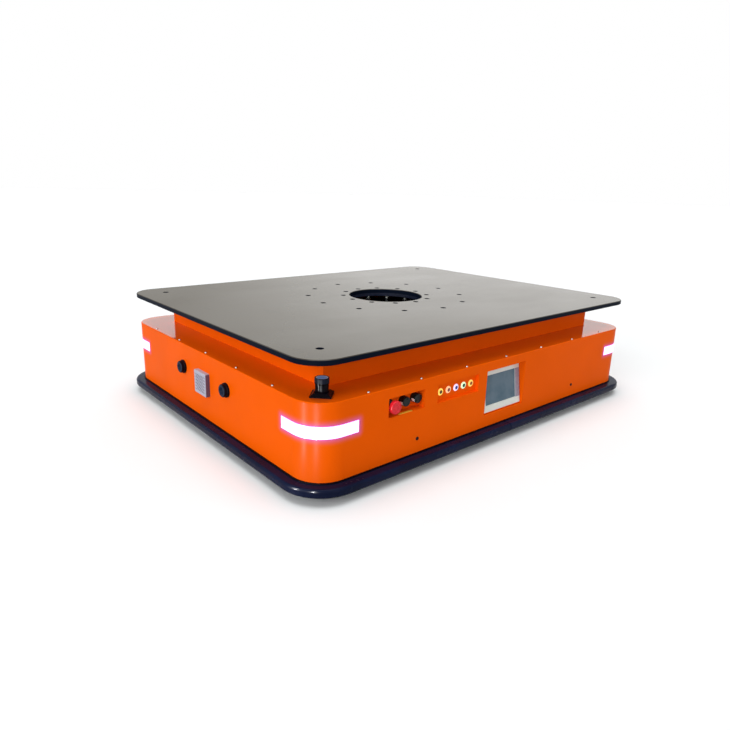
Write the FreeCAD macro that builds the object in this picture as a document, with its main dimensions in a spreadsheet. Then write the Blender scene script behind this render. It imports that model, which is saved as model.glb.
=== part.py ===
import FreeCAD, Part
import math
import os
import Sketcher
from FreeCAD import Placement, Rotation, Vector

# Autonomous mobile robot with an equipment plate.
# Frame: millimetres, +Z up, origin on the floor under the middle of the robot, +X along the long side.
# The end with the speaker faces -X and is the front.
# The side with the operator panel faces -Y and is the left.

doc = FreeCAD.newDocument("mobile_robot")

# ---------------------------------------------------------------- driving dimensions (mm and degrees)
SIZES = (
    # top plate
    ("plate_length", 1550), ("plate_width", 1180), ("plate_corner", 88), ("plate_thick", 16),
    ("plate_top", 380), ("plate_chamfer", 2), ("plate_bore", 280),
    ("inner_ring_pcd", 330), ("outer_ring_pcd", 600), ("ring_hole", 20),
    ("corner_hole", 22), ("corner_hole_span_x", 1350), ("corner_hole_span_y", 980),
    ("cable_ring_width", 50), ("cable_ring_thick", 12),
    # bumper, which everything above it but the plate follows in plan
    ("bumper_length", 1600), ("bumper_width", 1250), ("bumper_corner", "=shell_corner + bumper_ledge_x"),
    ("bumper_ledge_x", 33.5), ("bumper_ledge_y", 34),
    ("bumper_height", 26), ("bumper_drop", 3), ("bumper_tongue", 25), ("bumper_round", 8), ("bumper_seam", 3),
    ("bumper_fit", 0.4),
    # side shell and deck
    ("shell_length", "=bumper_length - bumper_ledge_x * 2"),
    ("shell_width", "=bumper_width - bumper_ledge_y * 2"),
    ("shell_corner", 91), ("shell_flange", 22), ("sheet_thick", 3),
    ("deck_top", 269), ("deck_thick", 4), ("deck_edge_round", 2.5), ("deck_rim", 20),
    # riser under the plate
    ("deck_ledge_x", 112.5), ("deck_ledge_y", 114), ("riser_flange", 20),
    ("riser_length", "=shell_length - deck_ledge_x * 2"), ("riser_width", "=shell_width - deck_ledge_y * 2"),
    # operator panel openings on the left side, all with their top edges in line
    ("panel_top", 239), ("tray_wall", 2),
    ("estop_tray_x", -451), ("estop_tray_length", 138), ("small_tray_height", 55.5), ("estop_tray_depth", 30),
    ("button_tray_x", -236.5), ("button_tray_length", 183), ("button_tray_depth", 13),
    ("hmi_x", -3.5), ("hmi_opening_length", 201), ("hmi_opening_height", 147.5), ("hmi_tilt", 8),
    ("hmi_low_depth", 11),
    # corner lights
    ("light_reach", 143), ("light_height", 34), ("light_base", 172), ("light_gap", 0.5), ("light_proud", 0.6),
    ("light_channel_depth", 14), ("light_channel_margin", 8),
    # base pan
    ("pan_top", 53), ("pan_thick", 8), ("pan_lip", 4),
    # chassis
    ("frame_base", 158), ("rail_width", 60), ("rail_height", 80), ("rail_wall", 5),
    ("riser_to_end_rail", 54), ("end_rail_x", "=riser_length / 2 - riser_to_end_rail"),
    ("riser_to_side_rail", 127), ("side_rail_y", "=riser_width / 2 - riser_to_side_rail"),
    ("shell_to_rail_end", 71), ("riser_to_rail_end", 27),
    ("end_rail_length", "=shell_width - shell_to_rail_end * 2"), ("mid_rail_x", 200),
    ("end_post_y", 260), ("side_post_x", 400), ("mount_plate_thick", 8), ("mount_plate_size", 140),
    ("riser_rail_height", 40), ("riser_mid_x", 400),
    ("riser_end_length", "=riser_width - riser_to_rail_end * 2"),
    # drive units
    ("drive_wheel_dia", 200), ("drive_wheel_width", 60), ("shell_to_wheel", 131), ("tyre_thick", 15),
    ("drive_wheel_y", "=shell_width / 2 - shell_to_wheel"),
    ("tyre_round", 4), ("hub_web", 16), ("hub_boss_dia", 70), ("axle_dia", 30), ("axle_fit", 0.05),
    ("gearbox_side", 90), ("gearbox_length", 70), ("pilot_dia", 60), ("pilot_length", 14),
    ("bracket_thick", 10), ("bracket_width", 150), ("bracket_gap", 5),
    ("motor_dia", 80), ("motor_length", 118), ("encoder_dia", 68), ("encoder_length", 24),
    ("gearbox_edge", 6), ("shaft_gap", 0.2), ("wheel_well_margin", 15),
    # casters
    ("caster_x", "=end_rail_x"),
    ("side_rail_to_caster", 80), ("caster_y", "=side_rail_y + side_rail_to_caster"),
    ("caster_wheel_dia", 100), ("caster_wheel_width", 34), ("caster_trail", 36), ("caster_hub_dia", 32),
    ("caster_dish", 7), ("caster_plate_length", 110), ("caster_plate_width", 90), ("caster_plate_thick", 6),
    ("caster_plate_corner", 6), ("kingpin_gap", 1),
    ("fork_gap", 1), ("fork_wall", 5), ("fork_width", 34), ("fork_top_clear", 6), ("swivel_dia", 60),
    ("swivel_gap", 0.4), ("kingpin_dia", 16), ("caster_axle_dia", 12), ("caster_well_margin", 12),
    # power and control boxes
    ("box_gap", 12), ("battery_height", 150), ("control_height", 140), ("box_corner", 6),
    ("box_chamfer", 2),
    # lidar scanners
    ("lidar_inset_x", 73), ("lidar_inset_y", 66), ("lidar_base_side", 57), ("lidar_body_dia", 38),
    ("lidar_height", 47),
    ("lidar_base_height", 9), ("lidar_flange_thick", 3), ("lidar_shoulder_step", 2.5),
    ("lidar_window_height", 23), ("lidar_window_step", 1.5), ("lidar_cap_dia", 32), ("lidar_cap_thick", 1.5),
    # front end
    ("speaker_side", 80), ("speaker_height", 75), ("speaker_level", 173), ("speaker_proud", 14),
    ("speaker_round", 4), ("speaker_cavity", 6),
    ("grille_inset", 5), ("grille_thick", 1.5), ("grille_hole", 5), ("grille_pitch", 10),
    ("sensor_dia", 45), ("sensor_offset", 148), ("sensor_level", 190), ("sensor_proud", 16),
    ("sensor_step", 5),
    # emergency stop
    ("estop_x", -498), ("estop_dia", 38), ("estop_travel", 4), ("estop_proud", 38), ("estop_cap_height", 15),
    ("estop_collar_dia", 34), ("estop_collar_height", 8), ("estop_neck_dia", 24), ("estop_stem_dia", 12),
    ("estop_under_dia", 27), ("estop_flare", 4), ("estop_round", 3.5),
    ("push_fit", 0.08), ("push_gap", 0.32), ("contact_block_side", 26), ("contact_block_depth", 34),
    # selector switches
    ("selector_a_x", -442.5), ("selector_a_turn", 0), ("selector_b_x", -397.5), ("selector_b_turn", 115),
    ("selector_bezel_dia", 28.5), ("selector_bezel_height", 4), ("selector_gap", 0.3),
    ("selector_shaft_dia", 22), ("selector_shaft_depth", 8),
    ("selector_knob_dia", 28), ("selector_knob_height", 16), ("selector_knob_round", 2),
    ("pointer_width", 3), ("pointer_length", 9), ("pointer_depth", 2),
    # push buttons
    ("button_pitch", 34), ("button_bezel_dia", 22), ("button_bezel_height", 2), ("button_cap_dia", 15),
    ("button_cap_proud", 1), ("button_travel", 2.5), ("button_barrel_dia", 16), ("button_barrel_depth", 22),
    ("button_barrel_fit", 0.02), ("button_bore_depth", 11),
    # operator screen
    ("hmi_length", 195), ("hmi_height", 142), ("hmi_thick", 6), ("hmi_round", 3),
    ("hmi_window_length", 158), ("hmi_window_height", 97), ("hmi_window_shift", -5),
    ("hmi_body_length", 178), ("hmi_body_height", 120), ("hmi_body_depth", 30), ("hmi_lip", 2.5),
    ("hmi_glass_thick", 1.8), ("hmi_fit", 0.3), ("hmi_hole_gap_x", 2), ("hmi_hole_gap_z", 5),
)

sheet = doc.addObject("Spreadsheet::Sheet", "Sizes")
for row, (alias, content) in enumerate(SIZES, start=1):
    sheet.set(f"A{row}", alias.replace("_", " "))
    sheet.set(f"B{row}", str(content))
    sheet.setAlias(f"B{row}", alias)
doc.recompute()


# ---------------------------------------------------------------- sizes that keep their expression
class Size:
    """A number together with the sheet expression that gives it."""

    def __init__(self, number, text):
        self.number = float(number)
        self.text = text

    def __add__(self, other):
        other = as_size(other)
        return Size(self.number + other.number, f"({self.text} + {other.text})")

    def __sub__(self, other):
        other = as_size(other)
        return Size(self.number - other.number, f"({self.text} - {other.text})")

    def __mul__(self, other):
        other = as_size(other)
        return Size(self.number * other.number, f"({self.text} * {other.text})")

    def __truediv__(self, other):
        other = as_size(other)
        return Size(self.number / other.number, f"({self.text} / {other.text})")

    def __neg__(self):
        return Size(-self.number, f"(-1 * {self.text})")


def as_size(value):
    if isinstance(value, Size):
        return value
    return Size(value, f"({value})")


def tangent(angle):
    return Size(math.tan(math.radians(angle.number)), f"tan({angle.text})")


class Names:
    """Every alias of the sheet as an attribute."""


s = Names()
for alias, _ in SIZES:
    setattr(s, alias, Size(sheet.get(alias), f"Sizes.{alias}"))
ZERO = as_size(0)


def bind(thing, path, value):
    """Set one property from a size."""
    thing.setExpression(path, as_size(value).text)


# ---------------------------------------------------------------- placing
UPRIGHT = Rotation()
FACING_LEFT = Rotation(Vector(1, 0, 0), 90)                             # local z points to -Y, local y up
FACING_FRONT = Rotation(Vector(0, 0, 1), -90).multiply(FACING_LEFT)     # local z points to -X, local y up
FACING_RIGHT = Rotation(Vector(1, 0, 0), -90)                           # local z points to +Y


def place(thing, x=0, y=0, z=0, turn=UPRIGHT):
    thing.Placement = Placement(Vector(), turn)
    for axis, value in (("x", x), ("y", y), ("z", z)):
        bind(thing, f"Placement.Base.{axis}", value)
    return thing


# ---------------------------------------------------------------- sketches
def new_body(name):
    body = doc.addObject("PartDesign::Body", name)
    body.Label = name
    return body


def new_sketch(body, plane="XY_Plane", level=None):
    sketch = body.newObject("Sketcher::SketchObject", "sketch")
    origin_plane = next(item for item in body.Origin.OriginFeatures if item.Role == plane)
    sketch.AttachmentSupport = [(origin_plane, "")]
    sketch.MapMode = "FlatFace"
    if level is not None:
        bind(sketch, "AttachmentOffset.Base.z", level)
    return sketch


def constrain(sketch, rules):
    """Add constraints, each with the size that drives it or None."""
    numbers = sketch.addConstraint([rule for rule, _ in rules])
    for number, (_, value) in zip(numbers, rules):
        if value is not None:
            bind(sketch, f"Constraints[{number}]", value)


def at(geometry, end, x, y):
    """Rules that hold one end of a line, or a centre (end 3), at x and y."""
    x, y = as_size(x), as_size(y)
    return [(Sketcher.Constraint("DistanceX", -1, 1, geometry, end, x.number), x),
            (Sketcher.Constraint("DistanceY", -1, 1, geometry, end, y.number), y)]


def add_polygon(sketch, corners):
    points = [Vector(as_size(x).number, as_size(y).number, 0) for x, y in corners]
    ring = list(zip(points, points[1:] + points[:1]))
    lines = sketch.addGeometry([Part.LineSegment(a, b) for a, b in ring], False)
    rules = []
    for place_in_ring, line in enumerate(lines):
        following = lines[(place_in_ring + 1) % len(lines)]
        rules.append((Sketcher.Constraint("Coincident", line, 2, following, 1), None))
        rules += at(line, 1, *corners[place_in_ring])
    constrain(sketch, rules)


def add_rectangle(sketch, x, y, length, width):
    """A rectangle about the centre x, y."""
    x, y, half_length, half_width = as_size(x), as_size(y), as_size(length) / 2, as_size(width) / 2
    add_polygon(sketch, ((x - half_length, y - half_width), (x + half_length, y - half_width),
                         (x + half_length, y + half_width), (x - half_length, y + half_width)))


def add_rounded_rectangle(sketch, length, width, radius):
    """A rectangle about the origin with round corners."""
    half_x, half_y, radius = as_size(length) / 2, as_size(width) / 2, as_size(radius)
    flat_x, flat_y = half_x - radius, half_y - radius
    runs = (((-flat_x, -half_y), (flat_x, -half_y)), ((half_x, -flat_y), (half_x, flat_y)),
            ((flat_x, half_y), (-flat_x, half_y)), ((-half_x, flat_y), (-half_x, -flat_y)))
    arc_centres = ((flat_x, -flat_y), (flat_x, flat_y), (-flat_x, flat_y), (-flat_x, -flat_y))
    lines, arcs = [], []
    for quarter, ((start, end), centre) in enumerate(zip(runs, arc_centres)):
        line = Part.LineSegment(*(Vector(x.number, y.number, 0) for x, y in (start, end)))
        circle = Part.Circle(Vector(centre[0].number, centre[1].number, 0), Vector(0, 0, 1), radius.number)
        turn = math.pi / 2 * (quarter - 1)
        lines.append(sketch.addGeometry(line, False))
        arcs.append(sketch.addGeometry(Part.ArcOfCircle(circle, turn, turn + math.pi / 2), False))
    rules = []
    for quarter, ((start, end), line, arc) in enumerate(zip(runs, lines, arcs)):
        rules += at(line, 1, *start) + at(line, 2, *end)
        rules.append((Sketcher.Constraint("Tangent", arc, 1, line, 2), None))
        rules.append((Sketcher.Constraint("Coincident", arc, 2, lines[(quarter + 1) % 4], 1), None))
    constrain(sketch, rules)


def add_circle(sketch, diameter, x=0, y=0):
    x, y, diameter = as_size(x), as_size(y), as_size(diameter)
    circle = Part.Circle(Vector(x.number, y.number, 0), Vector(0, 0, 1), diameter.number / 2)
    index = sketch.addGeometry(circle, False)
    size_rule = (Sketcher.Constraint("Diameter", index, diameter.number), diameter)
    constrain(sketch, at(index, 3, x, y) + [size_rule])


# ---------------------------------------------------------------- features
def pad(body, sketch, length, both_sides=False):
    feature = body.newObject("PartDesign::Pad", "pad")
    feature.Profile = sketch
    bind(feature, "Length", length)
    if both_sides:
        feature.SideType = "Symmetric"
    return feature


def pocket(body, sketch, depth=None, upward=False, both_sides=False):
    """Cut down from the sketch, or upward; right through when no depth is given."""
    feature = body.newObject("PartDesign::Pocket", "pocket")
    feature.Profile = sketch
    feature.Reversed = upward
    if depth is None:
        feature.Type = "ThroughAll"
    else:
        bind(feature, "Length", depth)
    if both_sides:
        feature.SideType = "Symmetric"
    return feature


def revolve(body, sketch):
    """Turn a profile in the XZ plane about the body's Z axis."""
    feature = body.newObject("PartDesign::Revolution", "revolution")
    feature.Profile = sketch
    feature.ReferenceAxis = (sketch, ["V_Axis"])
    feature.Angle = 360
    return feature


def ring_pattern(body, feature, count):
    """Repeat a feature about the body's Z axis."""
    pattern = body.newObject("PartDesign::PolarPattern", "ring")
    pattern.Originals = [feature]
    z_axis = next(item for item in body.Origin.OriginFeatures if item.Role == "Z_Axis")
    pattern.Axis = (z_axis, [""])
    pattern.Angle = 360
    pattern.Occurrences = count
    body.Tip = pattern
    return pattern


def soften(body, kind, size, wanted):
    """Fillet or chamfer the edges of the body's tip whose middle passes the wanted test."""
    doc.recompute()
    base = body.Tip
    names = []
    for number, edge in enumerate(base.Shape.Edges, start=1):
        middle = edge.valueAt((edge.FirstParameter + edge.LastParameter) / 2)
        if wanted(edge, middle):
            names.append(f"Edge{number}")
    feature = body.newObject(f"PartDesign::{kind}", kind.lower())
    feature.Base = (base, names)
    bind(feature, "Radius" if kind == "Fillet" else "Size", size)
    return feature


def is_flat_at(edge, level):
    """True for an edge that lies at one height."""
    box = edge.BoundBox
    return abs(box.ZMin - level.number) < 0.01 and abs(box.ZMax - level.number) < 0.01


def lies_outside(middle, length, width):
    """True for a point beyond a centred rectangle."""
    return abs(middle.x) > length.number / 2 - 0.01 or abs(middle.y) > width.number / 2 - 0.01


def plain_block(name, x, y, z, length, width, height):
    """A Part box about x and y, standing on z."""
    box = doc.addObject("Part::Box", name)
    for path, value in (("Length", length), ("Width", width), ("Height", height)):
        bind(box, path, value)
    return place(box, as_size(x) - as_size(length) / 2, as_size(y) - as_size(width) / 2, z)


def plain_cylinder(name, diameter, height, x=0, y=0, z=0, turn=UPRIGHT):
    cylinder = doc.addObject("Part::Cylinder", name)
    bind(cylinder, "Radius", as_size(diameter) / 2)
    bind(cylinder, "Height", height)
    return place(cylinder, x, y, z, turn)


def cut(name, base, tool):
    result = doc.addObject("Part::Cut", name)
    result.Base = base
    result.Tool = tool
    return result


def fuse(name, shapes):
    result = doc.addObject("Part::MultiFuse", name)
    result.Shapes = shapes
    result.Refine = True
    return result


def group(name, shapes):
    result = doc.addObject("Part::Compound", name)
    result.Links = shapes
    return result


NODES = []


def keep(thing, name):
    """List a finished sub-part under its own name."""
    thing.Label = name
    NODES.append((name, thing))
    return thing


# corner name, x side, y side
CORNERS = (("front_left", -1, -1), ("front_right", -1, 1), ("rear_left", 1, -1), ("rear_right", 1, 1))
SIDES = (("left", -1), ("right", 1))

# ---------------------------------------------------------------- shared places
plate_base = s.plate_top - s.plate_thick
left_face = -s.shell_width / 2
front_face = -s.shell_length / 2
shell_top = s.deck_top - s.deck_thick
shell_height = shell_top - s.pan_top
frame_top = s.frame_base + s.rail_height
small_tray_level = s.panel_top - s.small_tray_height / 2
hmi_level = s.panel_top - s.hmi_opening_height / 2
mount_base = s.frame_base - s.mount_plate_thick
axle_level = s.drive_wheel_dia / 2


# ---------------------------------------------------------------- top plate
def make_top_plate():
    body = new_body("top_plate")
    outline = new_sketch(body)
    add_rounded_rectangle(outline, s.plate_length, s.plate_width, s.plate_corner)
    pad(body, outline, s.plate_thick)
    bore = new_sketch(body)
    add_circle(bore, s.plate_bore)
    pocket(body, bore, upward=True)
    soften(body, "Chamfer", s.plate_chamfer,
           lambda edge, middle: is_flat_at(edge, s.plate_thick) or
           is_flat_at(edge, ZERO) and lies_outside(middle, s.riser_length, s.riser_width))
    corner_holes = new_sketch(body)
    for _, side_x, side_y in CORNERS:
        add_circle(corner_holes, s.corner_hole, s.corner_hole_span_x / 2 * side_x,
                   s.corner_hole_span_y / 2 * side_y)
    pocket(body, corner_holes, upward=True)
    for pitch_circle in (s.inner_ring_pcd, s.outer_ring_pcd):
        hole = new_sketch(body)
        add_circle(hole, s.ring_hole, pitch_circle / 2)
        ring_pattern(body, pocket(body, hole, upward=True), 12)
    keep(place(body, z=plate_base), "top_plate")


def make_cable_ring():
    """Stiffening ring that closes the plate's bore from below."""
    body = new_body("cable_ring")
    outline = new_sketch(body)
    add_circle(outline, s.plate_bore + s.cable_ring_width * 2)
    add_circle(outline, s.plate_bore)
    pad(body, outline, s.cable_ring_thick)
    hole = new_sketch(body)
    add_circle(hole, s.ring_hole, s.inner_ring_pcd / 2)
    ring_pattern(body, pocket(body, hole, upward=True), 12)
    keep(place(body, z=plate_base - s.cable_ring_thick), "cable_ring")


# ---------------------------------------------------------------- sheet-metal covers
def make_riser_box():
    """Four folded walls with an inward flange at the top and at the bottom."""
    body = new_body("riser_box")
    height = plate_base - s.deck_top
    outline = new_sketch(body)
    add_rectangle(outline, 0, 0, s.riser_length, s.riser_width)
    pad(body, outline, height)
    inside = new_sketch(body, level=s.sheet_thick)
    add_rectangle(inside, 0, 0, s.riser_length - s.sheet_thick * 2, s.riser_width - s.sheet_thick * 2)
    pocket(body, inside, height - s.sheet_thick * 2, upward=True)
    mouth = new_sketch(body)
    add_rectangle(mouth, 0, 0, s.riser_length - s.riser_flange * 2, s.riser_width - s.riser_flange * 2)
    pocket(body, mouth, upward=True)
    keep(place(body, z=s.deck_top), "riser_box")


def make_deck_cover():
    body = new_body("deck_cover")
    outline = new_sketch(body)
    add_rounded_rectangle(outline, s.shell_length, s.shell_width, s.shell_corner)
    pad(body, outline, s.deck_thick)
    mouth = new_sketch(body)
    add_rectangle(mouth, 0, 0, s.riser_length - s.deck_rim * 2, s.riser_width - s.deck_rim * 2)
    pocket(body, mouth, upward=True)
    soften(body, "Fillet", s.deck_edge_round,
           lambda edge, middle: is_flat_at(edge, s.deck_thick) and
           lies_outside(middle, s.riser_length, s.riser_width))
    keep(place(body, z=shell_top), "deck_cover")


def add_tray(body, x, length, depth):
    """A welded tray behind a small opening of the left wall."""
    level = small_tray_level - s.pan_top
    walls = new_sketch(body, "XZ_Plane", -left_face - s.sheet_thick / 2)
    add_rectangle(walls, x, level, length + s.tray_wall * 2, s.small_tray_height + s.tray_wall * 2)
    feature = pad(body, walls, depth + s.tray_wall - s.sheet_thick / 2)
    feature.Reversed = True
    return level


def open_tray(body, x, level, length, depth):
    mouth = new_sketch(body, "XZ_Plane", -left_face)
    add_rectangle(mouth, x, level, length, s.small_tray_height)
    pocket(body, mouth, depth)


def hmi_side_profile(sketch, margin):
    """Side view of the screen recess: a floor, a roof and a back that leans away at the top."""
    low = s.panel_top - s.hmi_opening_height - s.pan_top - margin
    high = s.panel_top - s.pan_top + margin
    lean = tangent(s.hmi_tilt)
    low_depth = s.hmi_low_depth + margin
    high_depth = s.hmi_low_depth + s.hmi_opening_height * lean + margin
    front = left_face + (s.sheet_thick / 2 if margin.number > 0 else ZERO)
    add_polygon(sketch, ((front, low), (left_face + low_depth, low), (left_face + high_depth, high),
                         (front, high)))


def make_side_shell():
    """Wrap-round cover with flanges, corner light slots and three recesses for the operator panel."""
    body = new_body("side_shell")
    outline = new_sketch(body)
    add_rounded_rectangle(outline, s.shell_length, s.shell_width, s.shell_corner)
    pad(body, outline, shell_height)
    inside = new_sketch(body, level=s.sheet_thick)
    add_rounded_rectangle(inside, s.shell_length - s.sheet_thick * 2, s.shell_width - s.sheet_thick * 2,
                          s.shell_corner - s.sheet_thick)
    pocket(body, inside, shell_height - s.sheet_thick * 2, upward=True)
    mouth = new_sketch(body)
    add_rounded_rectangle(mouth, s.shell_length - s.shell_flange * 2, s.shell_width - s.shell_flange * 2,
                          s.shell_corner - s.shell_flange)
    pocket(body, mouth, upward=True)
    # corner light slots
    slots = new_sketch(body, level=s.light_base - s.pan_top)
    for _, side_x, side_y in CORNERS:
        add_rectangle(slots, s.shell_length / 2 * side_x, s.shell_width / 2 * side_y,
                      s.light_reach * 2, s.light_reach * 2)
    pocket(body, slots, s.light_height, upward=True)
    # trays behind the left wall
    estop_level = add_tray(body, s.estop_tray_x, s.estop_tray_length, s.estop_tray_depth)
    button_level = add_tray(body, s.button_tray_x, s.button_tray_length, s.button_tray_depth)
    hmi_walls = new_sketch(body, "YZ_Plane", s.hmi_x)
    hmi_side_profile(hmi_walls, s.tray_wall)
    pad(body, hmi_walls, s.hmi_opening_length + s.tray_wall * 2, both_sides=True)
    open_tray(body, s.estop_tray_x, estop_level, s.estop_tray_length, s.estop_tray_depth)
    open_tray(body, s.button_tray_x, button_level, s.button_tray_length, s.button_tray_depth)
    hmi_mouth = new_sketch(body, "YZ_Plane", s.hmi_x)
    hmi_side_profile(hmi_mouth, ZERO)
    pocket(body, hmi_mouth, s.hmi_opening_length, both_sides=True)
    # holes in the backs of the trays
    holes = new_sketch(body, "XZ_Plane", -left_face)
    add_circle(holes, s.estop_neck_dia, s.estop_x, estop_level)
    for x in (s.selector_a_x, s.selector_b_x):
        add_circle(holes, s.selector_shaft_dia + s.selector_gap * 2, x, estop_level)
    for place_in_row in range(-2, 3):
        add_circle(holes, s.button_barrel_dia, s.button_tray_x + s.button_pitch * place_in_row, button_level)
    add_rectangle(holes, s.hmi_x, hmi_level - s.pan_top, s.hmi_body_length + s.hmi_hole_gap_x * 2,
                  s.hmi_body_height + s.hmi_hole_gap_z * 2)
    pocket(body, holes, s.estop_tray_depth + s.tray_wall * 2 + s.hmi_low_depth)
    keep(place(body, z=s.pan_top), "side_shell")


def make_corner_band(name, side_x, side_y, outward, thick, base, height, reach):
    """A strip that follows the shell round one corner."""
    body = new_body(name)
    band = new_sketch(body)
    add_rounded_rectangle(band, s.shell_length + outward * 2, s.shell_width + outward * 2,
                          s.shell_corner + outward)
    inner = outward - thick
    add_rounded_rectangle(band, s.shell_length + inner * 2, s.shell_width + inner * 2, s.shell_corner + inner)
    pad(body, band, height)
    rest = new_sketch(body)
    near_x = (s.shell_length / 2 - reach) * side_x
    near_y = (s.shell_width / 2 - reach) * side_y
    far_x = s.bumper_length * side_x
    far_y = s.bumper_width * side_y
    add_polygon(rest, ((-far_x, -far_y), (far_x, -far_y), (far_x, near_y), (near_x, near_y), (near_x, far_y),
                       (-far_x, far_y)))
    pocket(body, rest, upward=True)
    return place(body, z=base)


def make_corner_lights():
    channels = []
    for corner, side_x, side_y in CORNERS:
        lens = make_corner_band(f"corner_light_{corner}", side_x, side_y, s.light_proud,
                                s.sheet_thick + s.light_proud, s.light_base + s.light_gap,
                                s.light_height - s.light_gap * 2, s.light_reach - s.light_gap)
        keep(lens, f"corner_light_{corner}")
        channels.append(make_corner_band(f"light_channel_{corner}", side_x, side_y, -s.sheet_thick,
                                         s.light_channel_depth, s.light_base - s.light_channel_margin,
                                         s.light_height + s.light_channel_margin * 2,
                                         s.light_reach + s.light_channel_margin))
    keep(group("light_channels", channels), "light_channels")


# ---------------------------------------------------------------- base pan and bumper
pan_length = s.shell_length + s.pan_lip * 2
pan_width = s.shell_width + s.pan_lip * 2
pan_corner = s.shell_corner + s.pan_lip
pan_base = s.pan_top - s.pan_thick


def make_base_pan():
    """Floor plate with wells for the drive wheels and casters."""
    body = new_body("base_pan")
    outline = new_sketch(body)
    add_rounded_rectangle(outline, pan_length, pan_width, pan_corner)
    pad(body, outline, s.pan_thick)
    wells = new_sketch(body)
    for _, side in SIDES:
        add_rectangle(wells, 0, s.drive_wheel_y * side, s.drive_wheel_dia + s.wheel_well_margin * 2,
                      s.drive_wheel_width + s.wheel_well_margin * 2)
    sweep = s.caster_trail * 2 + s.caster_wheel_dia + s.caster_well_margin * 2
    for _, side_x, side_y in CORNERS:
        add_circle(wells, sweep, s.caster_x * side_x, s.caster_y * side_y)
    pocket(body, wells, upward=True)
    keep(place(body, z=pan_base), "base_pan")


def make_bumper(name, side):
    """One half of the bumper: a round-edged bar with a tongue under the pan."""
    bumper_top = s.pan_top - s.bumper_drop
    body = new_body(name)
    outline = new_sketch(body)
    add_rounded_rectangle(outline, s.bumper_length, s.bumper_width, s.bumper_corner)
    add_rounded_rectangle(outline, pan_length - s.bumper_tongue * 2, pan_width - s.bumper_tongue * 2,
                          pan_corner - s.bumper_tongue)
    pad(body, outline, s.bumper_height)
    step = new_sketch(body, level=pan_base - bumper_top + s.bumper_height)
    add_rounded_rectangle(step, pan_length + s.bumper_fit * 2, pan_width + s.bumper_fit * 2,
                          pan_corner + s.bumper_fit)
    pocket(body, step, upward=True)
    soften(body, "Fillet", s.bumper_round,
           lambda edge, middle: (is_flat_at(edge, s.bumper_height) or is_flat_at(edge, ZERO)) and
           lies_outside(middle, s.shell_length + s.bumper_round * 4, s.shell_width + s.bumper_round * 4))
    other_half = new_sketch(body)
    add_rectangle(other_half, (s.bumper_length / 2 - s.bumper_seam / 2) * -side, 0, s.bumper_length,
                  s.bumper_width + s.bumper_height)
    pocket(body, other_half, upward=True)
    keep(place(body, z=bumper_top - s.bumper_height), name)


# ---------------------------------------------------------------- chassis and riser frame
def make_channel(name, x, y, z, length, width, height, open_to):
    """A channel section; open_to is the x, y or z side that the web doesn't close."""
    outer = plain_block(f"{name}_outer", x, y, z, length, width, height)
    run_x = open_to[0] == 0
    hollow_length = length if run_x else length - s.rail_wall
    hollow_width = width - s.rail_wall if run_x else width
    shift_x = as_size(x) + s.rail_wall / 2 * open_to[0]
    shift_y = as_size(y) + s.rail_wall / 2 * open_to[1]
    hollow = plain_block(f"{name}_hollow", shift_x, shift_y, z + s.rail_wall, hollow_length, hollow_width,
                         height - s.rail_wall * 2)
    return cut(name, outer, hollow)


def make_post(name, x, y, low, high):
    """A square tube standing between two levels."""
    outer = plain_block(f"{name}_outer", x, y, low, s.rail_width, s.rail_width, high - low)
    inner_side = s.rail_width - s.rail_wall * 2
    hollow = plain_block(f"{name}_hollow", x, y, low, inner_side, inner_side, high - low)
    return cut(name, outer, hollow)


def make_chassis_frame():
    """Ladder of channels on posts, with pads for the casters and drive brackets."""
    level = s.frame_base
    pieces = []
    between_ends = s.end_rail_x * 2 - s.rail_width
    between_sides = s.side_rail_y * 2 - s.rail_width
    for end in (-1, 1):
        pieces.append(make_channel("end_rail", s.end_rail_x * end, 0, level, s.rail_width, s.end_rail_length,
                                   s.rail_height, (end, 0)))
        pieces.append(make_channel("mid_rail", s.mid_rail_x * end, 0, level, s.rail_width, between_sides,
                                   s.rail_height, (end, 0)))
        pieces.append(make_channel("side_rail", 0, s.side_rail_y * end, level, between_ends, s.rail_width,
                                   s.rail_height, (0, end)))
    for _, side_x, side_y in CORNERS:
        for x, y in ((s.end_rail_x, s.end_post_y), (s.side_post_x, s.side_rail_y)):
            pieces.append(make_post("post", x * side_x, y * side_y, s.pan_top, level))
        pieces.append(plain_block("caster_pad", s.caster_x * side_x, s.caster_y * side_y, mount_base,
                                  s.mount_plate_size, s.mount_plate_size, s.mount_plate_thick))
    keep(group("chassis_frame", pieces), "chassis_frame")


def make_riser_frame():
    """Upper frame inside the riser that carries the top plate on eight legs."""
    level = plate_base - s.riser_rail_height
    pieces = []
    between_ends = s.end_rail_x * 2 - s.rail_width
    between_sides = s.side_rail_y * 2 - s.rail_width
    for end in (-1, 1):
        pieces.append(make_channel("top_end_rail", s.end_rail_x * end, 0, level, s.rail_width,
                                   s.riser_end_length, s.riser_rail_height, (end, 0)))
        pieces.append(make_channel("top_mid_rail", s.riser_mid_x * end, 0, level, s.rail_width, between_sides,
                                   s.riser_rail_height, (end, 0)))
        pieces.append(make_channel("top_side_rail", 0, s.side_rail_y * end, level, between_ends, s.rail_width,
                                   s.riser_rail_height, (0, end)))
    for _, side_x, side_y in CORNERS:
        for x in (s.end_rail_x, s.riser_mid_x):
            pieces.append(make_post("leg", x * side_x, s.side_rail_y * side_y, frame_top, level))
    keep(group("riser_frame", pieces), "riser_frame")


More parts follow.
